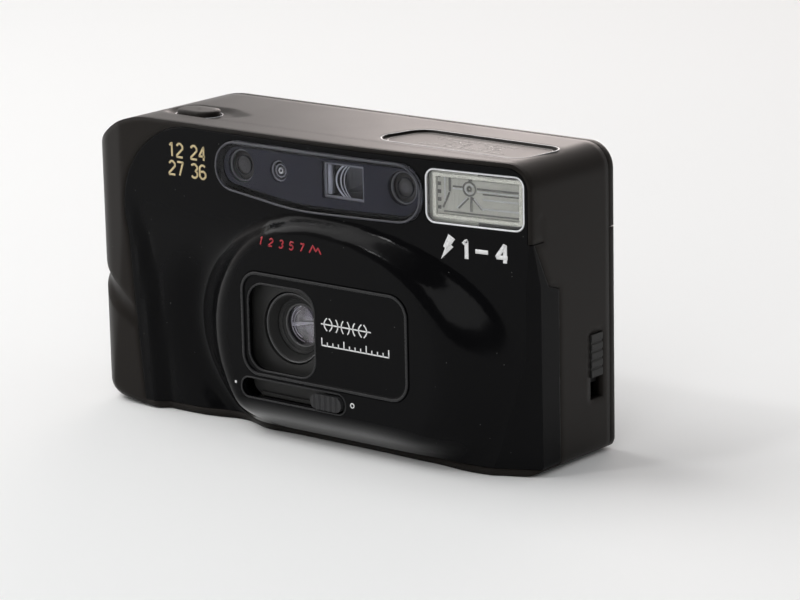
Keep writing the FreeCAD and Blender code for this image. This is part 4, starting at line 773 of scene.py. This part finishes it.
def flash_rim():
    """White bead along the rim of the flash's window."""
    frame_ring("flash_rim", FLASH, lambda x, z: plan_front(x) + 0.35, round_bead(0.42, 0.16), bar_white,
               count=200)


def flash_frame():
    """Pale frame between the flash's window and the trough: a flat bar carried round the window."""
    bar = [(2.1, 0.0), (2.1, 0.3), (0.25, 0.3), (0.25, 0.0)]
    frame_ring("flash_frame", FLASH, lambda x, z: plan_front(x) + 2.1, bar, prism_pale, count=200)


def flash_prisms():
    """Moulded sheet behind the flash's window, with upright ribs on its left part and lines on the rest.

    The depth of its face is a wave of straight flanks: how far a place lies from the middle of its
    rib or line, as a share of their distance, times their height. A wall joins the face to its back.
    """
    low, high = low_and_high("flash_window")
    margin, change = 2.2, 46.5
    u = np.linspace(low[0] + margin, high[0] - margin, 105)
    v = np.linspace(low[2] + margin, high[2] - margin, 42)
    x, z = np.meshgrid(u, v)
    ribs = np.abs((x / 1.3) % 1.0 - 0.5) * (x < change)
    lines = np.abs((z / 1.2) % 1.0 - 0.5) * (x >= change)
    near = np.stack([x, plan_front(x) + 2.2 + 0.3 * ribs + 0.16 * lines, z], -1)
    far = np.stack([x, plan_front(x) + 2.8, z], -1)
    rows, columns = x.shape
    quads = grid_faces(rows, columns, False, False)
    both = np.concatenate([quads, quads[:, ::-1] + rows * columns])
    rim = np.concatenate([np.arange(columns), np.arange(1, rows) * columns + columns - 1,
                          (rows - 1) * columns + np.arange(columns - 2, -1, -1),
                          np.arange(rows - 2, 0, -1) * columns])
    after = np.roll(rim, -1)
    wall = np.stack([rim, rim + rows * columns, after + rows * columns, after], -1)
    make_piece("flash_prisms", np.concatenate([near.reshape(-1, 3), far.reshape(-1, 3)]),
               np.concatenate([both, wall]).tolist(), prism_pale, "camera")


def flash_lines():
    """Painted shade and highlights on the moulded sheet: dark and pale lines of the tube's end ring and lead,
    end walls, and long prisms to the right.
    """
    tube_x, tube_z, right = 48.6, 65.0, 60.9
    # Painted shade: the dark lines stand for the shaded sides of the ridges and the ring, and the shadowed
    # reflection of the tube's mount.
    dark = [(arc(tube_x, tube_z, 1.55, 1.55, 0, 360), 0.34), (arc(tube_x, tube_z, 0.45, 0.45, 0, 360), 0.4),
            (dense([(44.4, 65.3), (46.9, 65.3)]), 0.3), (dense([(50.6, 65.2), (right, 65.2)]), 0.42),
            (dense([(52.0, 64.1), (right, 64.1)]), 0.3), (dense([(43.6, 67.6), (43.6, 64.0)]), 0.5),
            (dense([(43.5, 63.8), (41.8, 60.2)]), 0.4), (dense([(49.4, 63.0), (51.7, 60.6)]), 0.38),
            (dense([(49.1, 63.2), (49.0, 59.9)]), 0.5), (dense([(48.4, 62.9), (45.8, 60.4)]), 0.3),
            (dense([(48.9, 66.8), (48.8, 67.8)]), 0.9), (dense([(42.0, 59.4), (right, 59.4)]), 0.35)]
    dark += [(dense([(40.9, z), (40.9, z + 0.8)]), 0.75) for z in (59.8, 61.6, 63.4, 65.2, 67.0)]
    # Painted highlight: the pale lines stand for the lit sides beside them.
    pale = [(arc(tube_x, tube_z, 1.05, 1.05, 30, 330), 0.3), (dense([(44.4, 64.8), (46.9, 64.8)]), 0.35),
            (dense([(50.6, 64.6), (right, 64.6)]), 0.32), (dense([(52.0, 62.9), (right, 62.9)]), 0.4),
            (dense([(52.0, 60.8), (right, 60.8)]), 0.4), (dense([(47.9, 62.9), (45.3, 60.4)]), 0.3),
            (dense([(42.3, 67.6), (42.3, 61.6)]), 0.3), (dense([(49.7, 62.9), (52.2, 60.4)]), 0.28)]
    lay = on_front(lambda x, z: plan_front(x) + 2.12)
    for name, lines, material in (("flash_lines_painted_shade", dark, prism_shade),
                                  ("flash_lines_painted_highlight", pale, bar_white)):
        bars(name, [path for path, _ in lines], [width for _, width in lines], lay, material)


def window_ring(name, x, behind, inner, outer, deep, material):
    """Ring in the row of windows, whose front lies behind the plan curve."""
    ring(name, (x, float(plan_front(x)) + behind, WINDOW_Z), inner, outer, deep, material)


def window_rings():
    """Bright and dark rings round the emitter, the receiver and the sensor, behind the strip."""
    for name, x in (("emitter", EMITTER_X), ("receiver", RECEIVER_X)):
        window_ring(name + "_outer_ring", x, 2.0, 3.45, 3.85, 0.5, rim_pale)
        window_ring(name + "_inner_ring", x, 2.2, 2.1, 2.35, 0.5, rim_black)
    window_ring("sensor_outer_ring", SENSOR_X, 1.9, 2.15, 2.5, 0.6, rim_grey)
    window_ring("sensor_middle_ring", SENSOR_X, 2.1, 1.35, 1.6, 0.6, rim_grey)
    window_ring("sensor_cup", SENSOR_X, 2.2, 0.3, 0.8, 0.5, silvered)


def finder_frame():
    """Bright-edged frame in the mouth of the finder, with the frame lines' prism at its left.

    The prism is an outline of four corners, seen from above, carried straight up; its white also paints the
    bright streak that it reflects.
    """
    mouth = rectangle(8.9, 21.1, 58.9, 67.5, 0.5)
    frame_ring("finder_frame", mouth, flat(FINDER_FACE), [(0.0, 0.5), (0.7, 0.5), (0.7, 0.0), (0.0, 0.0)],
               rim_grey, count=120)
    x = np.array([10.0, 10.9, 10.9, 10.0])
    y = FINDER_FACE + np.array([0.1, 0.1, 1.4, 0.9])
    grid = np.stack([np.stack([x, y, np.full(4, z)], -1) for z in (59.8, 66.8)])
    # Partly painted reflection: the prism is a real part, and its white stands for the bright streak it
    # shows.
    skin("finder_prism", grid, bar_white, "camera", turn=True)


def finder_edge_reflections():
    """Painted reflections on the edges of the curved elements inside the finder: white arcs that stand one
    behind the other.
    """
    paths = [arc(21.5, 63.2, rx, 5.4, 130, 230) for rx in (9.2, 7.9, 6.9)]
    # Painted reflection: white arcs stand for the light on the finder's curved glass.
    bars("finder_edge_reflections", paths, [0.42, 0.28, 0.2], on_front(flat(FINDER_FACE + 0.35)), bar_white)


strip_rim()
flash_rim()
flash_frame()
flash_prisms()
flash_lines()
window_rings()
finder_frame()
finder_edge_reflections()


# Lens, slot and button

def lens_rings():
    """Retaining ring and hood ridges of the focus cell, and the hood's outer edge."""
    for name, y, inner, outer, deep, material, body in (
            ("glass_ring", -16.95, 4.75, 5.35, 0.5, rim_dark, "focus"),
            ("name_ring", -17.6, 5.75, 6.0, 0.3, rim_black, "focus"),
            ("cell_ring", -18.0, 6.3, 6.55, 0.3, rim_black, "focus"),
            ("hood_ring", -20.2, 7.95, 8.4, 0.3, rim_dark, "camera")):
        ring(name, (LENS_X, y, LENS_Z), inner, outer, deep, material, body)


def painted_lens_glints():
    """Painted highlights behind the front glass: two arcs on the spacer, and a streak along the slit's edge
    across it.
    """
    paths = [arc(LENS_X, LENS_Z, 4.1, 4.1, 112, 262), arc(LENS_X, LENS_Z, 3.3, 3.3, 120, 250),
             dense([(-4.0, 26.5), (4.1, 27.9)])]
    # Painted highlight: these white bars stand for the glints of the lens.
    bars("painted_lens_glints", paths, [(0.2, 0.42), (0.12, 0.3), (0.95, 0.22)], on_front(flat(-15.1)),
         bar_white, "focus")


def edge_beads():
    """Thin rounded edges of the trim plate, the lens opening and the slot."""
    for name, corners, face, width, height, count in (
            ("trim_bead", front_rectangle("lens_trim_plate", 4.9, grow=-0.1), flat(TRIM_RIM), 0.6, 0.12, 220),
            ("opening_bead", rectangle(-11.1, 9.6, 16.3, 37.7, 5.0), flat(TRIM_FACE), 0.5, 0.2, 200),
            ("slot_bead", rectangle(-13.75, 18.25, 9.35, 14.65, 2.5),
             lambda x, z: cover_front(x, z) + 0.02, 0.42, 0.12, 200)):
        frame_ring(name, corners, face, round_bead(width, height), rim_black, count)


def button_cap():
    """Oval dome over the button's cap: a superellipse, scaled and lifted from row to row.

    A short skirt leads to the side, a quarter round rolls over the edge, and from there the level
    dips towards the middle as half a wave of a sine.
    """
    half_x, half_y, power, count = 5.5, 3.5, 0.86, 96
    roll, rise, dip = 0.16, 0.45, 0.22
    crown = TOP + 0.6
    angle = np.linspace(0, 2 * math.pi, count, endpoint=False)
    cos, sin = np.cos(angle), np.sin(angle)
    across = np.sign(cos) * np.abs(cos) ** power
    along = np.sign(sin) * np.abs(sin) ** power
    rows = [(0.93, BUTTON_DISH), (1.0, BUTTON_DISH + 0.2)]
    rows += [(1.0 - roll * (1 - math.cos(t)), crown - rise + rise * math.sin(t))
             for t in np.linspace(0, math.pi / 2, 8)]
    rows += [((1.0 - roll) * (1 - t), crown - dip * math.sin(math.pi * min(t * 1.2, 1.0)))
             for t in np.linspace(0.1, 0.9, 11)]
    grid = np.stack([np.stack([BUTTON_X + half_x * k * across, BUTTON_Y + half_y * k * along,
                               np.full(count, z)], -1) for k, z in rows])
    skin("button_cap", grid, black_satin, "shutter_button")


def top_edge_highlights():
    """Painted highlights on the edges round the sunk label and round the shutter button: thin grey lines
    where they catch the light.
    """
    label = rounded_loop([(15.2, -10.8, 5.2), (58.7, -10.8, 4.2), (60.8, 4.8, 4.2), (19.3, 4.8, 5.2)])
    low, high = low_and_high("shutter_button")
    button = rounded_loop(rectangle(low[0], high[0], low[1], high[1], 4.0, grow=-0.2))
    for name, loop, level, height in (("label_edge_highlight", label, TOP, 0.04),
                                      ("button_dish_highlight", button, BUTTON_DISH, 0.1)):
        # Painted highlight: grey lines stand for the light caught by these edges.
        bars(name, [closed(loop)], 0.3, on_top(level), rim_grey, height=height)


lens_rings()
painted_lens_glints()
edge_beads()
button_cap()
top_edge_highlights()


# Back and base

def grip_ribs():
    """Upright ribs for the thumb, beside the back door's hinge."""
    paths = [dense([(u, 21.0), (u, 45.0)], 1.0) for u in np.arange(53.4, 60.5, 1.35)]
    bars("grip_ribs", paths, 0.7, on_back(BACK), black_rubber, height=0.32)


def back_marks():
    """Rim of the film window, and plain drawings: an arrow for the film's way and the counter's figures."""
    low, high = low_and_high("film_window")
    rim = rounded_loop(rectangle(-high[0], -low[0], low[2], high[2], 1.6, grow=0.5))
    bars("film_window_rim", [closed(rim)], 0.5, on_back(BACK), rim_dark, "back_door", 0.12)
    arrow = [dense([(-14.0, 8.0), (14.0, 8.0)], 1.0), dense([(11.4, 9.8), (14.0, 8.0), (11.4, 6.2)])]
    bars("film_way_mark", arrow, 0.5, on_back(BACK), grey_ink, "back_door", 0.03)
    figures = []
    for text, u in (("12", -1.6), ("11", 3.6), ("13", -6.4)):
        figures += numbers(text, u, 59.3, tall=2.0, breadth=1.0)
    bars("counter_figures", figures, 0.32, on_drum, blade_black, "counter", 0.02)


def base_screws():
    """Screw heads in the base: circles scaled from row to row, each with a cross of two dark bars that paint
    the shade of its recess.
    """
    count, arm = 48, 0.8
    angle = np.linspace(0, 2 * math.pi, count, endpoint=False)
    rows = [(1.6, 0.3), (1.6, -0.04), (1.45, -0.10), (0.4, -0.12)]
    for number, (x, y) in enumerate(((-30.0, 10.0), (52.0, 10.0), (52.0, -8.0), (-32.0, -12.0)), 1):
        grid = np.stack([np.stack([x + r * np.cos(angle), y + r * np.sin(angle), np.full(count, z)], -1)
                         for r, z in rows])
        skin("base_screw_%d" % number, grid, blade_black, "camera", turn=True)
        # Painted shade: the dark cross stands for the shade in the screw's cross recess.
        cross = [dense([(x - arm, -y), (x + arm, -y)]), dense([(x, -y - arm), (x, -y + arm)])]
        bars("base_screw_cross_%d" % number, cross, 0.3, on_base, black_matt, height=0.14)


def tripod_thread():
    """Thread of the tripod socket: a stack of crests, a cosine of the height, that stand in from the bore."""
    low, high, pitch = 0.3, 5.9, 0.8
    heights = np.linspace(low, high, 85)
    crest = 2.42 + 0.13 * np.cos(2 * math.pi * (heights - low) / pitch)
    profile = [(2.75, high), (2.75, low)] + list(zip(crest, heights))
    turned("tripod_thread", profile, (0.0, TRIPOD_Y, 0.0), brass, "camera", axis="z")


def battery_marks():
    """Arrow for the battery door's way, with plus and minus signs, raised a little on the door."""
    paths = [dense([(-59.0, 0.0), (-52.0, 0.0)]), dense([(-56.8, 1.6), (-59.0, 0.0), (-56.8, -1.6)]),
             dense([(-51.0, 8.0), (-48.8, 8.0)]), dense([(-49.9, 6.9), (-49.9, 9.1)]),
             dense([(-51.0, -8.0), (-48.8, -8.0)])]
    bars("battery_marks", paths, 0.45, on_base, grey_ink, "battery_door", 0.05)


grip_ribs()
back_marks()
base_screws()
tripod_thread()
battery_marks()


# Camera, light and floor; lengths in metres

CAMERA_AZIMUTH = math.radians(39.073)
CAMERA_HEIGHT = math.radians(14.093)
CAMERA_ROLL = math.radians(-1.223)
CAMERA_PLACE = (0.51387, -0.61410, 0.23023)
LENS_MM = 157.5
SENSOR_MM = 36.0

FLOOR_HALF = 3.0
FLOOR_DROP = 0.0002
WHITE = (1.0, 1.0, 1.0)


def set_camera():
    """Camera in the photograph's place: turned by azimuth, height and roll about its own line of sight."""
    back = np.array([math.sin(CAMERA_AZIMUTH) * math.cos(CAMERA_HEIGHT),
                     -math.cos(CAMERA_AZIMUTH) * math.cos(CAMERA_HEIGHT), math.sin(CAMERA_HEIGHT)])
    level = np.array([math.cos(CAMERA_AZIMUTH), math.sin(CAMERA_AZIMUTH), 0.0])
    rise = np.cross(back, level)
    right = math.cos(CAMERA_ROLL) * level + math.sin(CAMERA_ROLL) * rise
    up = math.cos(CAMERA_ROLL) * rise - math.sin(CAMERA_ROLL) * level
    data = bpy.data.cameras.new("camera")
    data.lens = LENS_MM
    data.sensor_width = SENSOR_MM
    data.clip_start = 0.01
    camera = bpy.data.objects.new("camera", data)
    bpy.context.scene.collection.objects.link(camera)
    matrix = np.eye(4)
    matrix[:3, 0], matrix[:3, 1], matrix[:3, 2], matrix[:3, 3] = right, up, back, CAMERA_PLACE
    camera.matrix_world = Matrix(matrix.tolist())
    bpy.context.scene.camera = camera


def area_light(name, place, target, width, height, power, colour=WHITE, spread=180.0):
    """Rectangular lamp of a power in watts, which looks at its target and which the camera doesn't see."""
    data = bpy.data.lights.new(name, "AREA")
    data.spread = math.radians(spread)
    data.shape = "RECTANGLE"
    data.size = width
    data.size_y = height
    data.energy = power
    data.color = colour
    light = bpy.data.objects.new(name, data)
    light.visible_camera = False
    bpy.context.scene.collection.objects.link(light)
    light.location = place
    light.rotation_euler = (Vector(target) - Vector(place)).to_track_quat("-Z", "Y").to_euler()


def set_lights():
    """A soft key from the left, a fill from the front, a warm card behind the top, and a small glint."""
    body = (0, 0, 0.03)
    area_light("key", (-0.95, -0.25, 1.15), body, 1.3, 1.3, 14.0)
    area_light("fill", (0.9, -1.5, 1.1), body, 1.2, 1.2, 9.0)
    area_light("back_card", (-0.60, 1.38, 0.42), (0, 0, 0.05), 0.9, 0.6, 1.05, (1.0, 0.88, 0.84), spread=70.0)
    area_light("glint", (-0.30, -0.62, 0.95), body, 0.10, 0.10, 1.2)


def set_world():
    """White backdrop for the camera, and a soft grey for matt faces.

    Gloss and glass see a studio that is white on its far side and nearly black on its near one.
    """
    w = World("studio")
    x, y, _ = w.direction()
    far = (y * 0.55 - x * 0.83).step(-0.30, 0.50)
    white = w.background(WHITE, 1.0)
    soft = w.background((0.97, 0.98, 1.0), 0.38)
    card = w.background((1.0, 0.955, 0.93), 0.08 + 0.92 * far)
    by_gloss = w.blend(w.ray("Glossy").either(w.ray("Transmission")), soft, card)
    bpy.context.scene.world = w.finish(w.blend(w.ray("Camera"), by_gloss, white))


def make_floor():
    """Pale floor that keeps the shadow near the object and turns to the white backdrop further off."""
    mesh = bpy.data.meshes.new("floor")
    corners = [(-FLOOR_HALF, -FLOOR_HALF, 0), (FLOOR_HALF, -FLOOR_HALF, 0),
               (FLOOR_HALF, FLOOR_HALF, 0), (-FLOOR_HALF, FLOOR_HALF, 0)]
    mesh.from_pydata(corners, [], [(0, 1, 2, 3)])
    floor = bpy.data.objects.new("floor", mesh)
    bpy.context.scene.collection.objects.link(floor)
    m = Material("floor_pale")
    tone = m.mix(m.noise(3.0), (0.90, 0.90, 0.89), (0.93, 0.93, 0.92))
    near = m.node("ShaderNodeBsdfPrincipled", inputs={"Base Color": tone, "Roughness": 0.9}, output="BSDF")
    white = m.node("ShaderNodeEmission", inputs={"Color": WHITE, "Strength": 1.0})
    x, y, _ = m.split(m.place())
    away = (x * x + y * y).step(0.4, 2.6)
    seen = m.ray("Camera").either(m.ray("Glossy")).either(m.ray("Transmission"))
    floor.data.materials.append(m.finish(m.blend(away * seen, near, white)))
    floor.location.z = -FLOOR_DROP


set_camera()
set_world()
make_floor()
set_lights()

bpy.context.scene.view_settings.view_transform = "Standard"
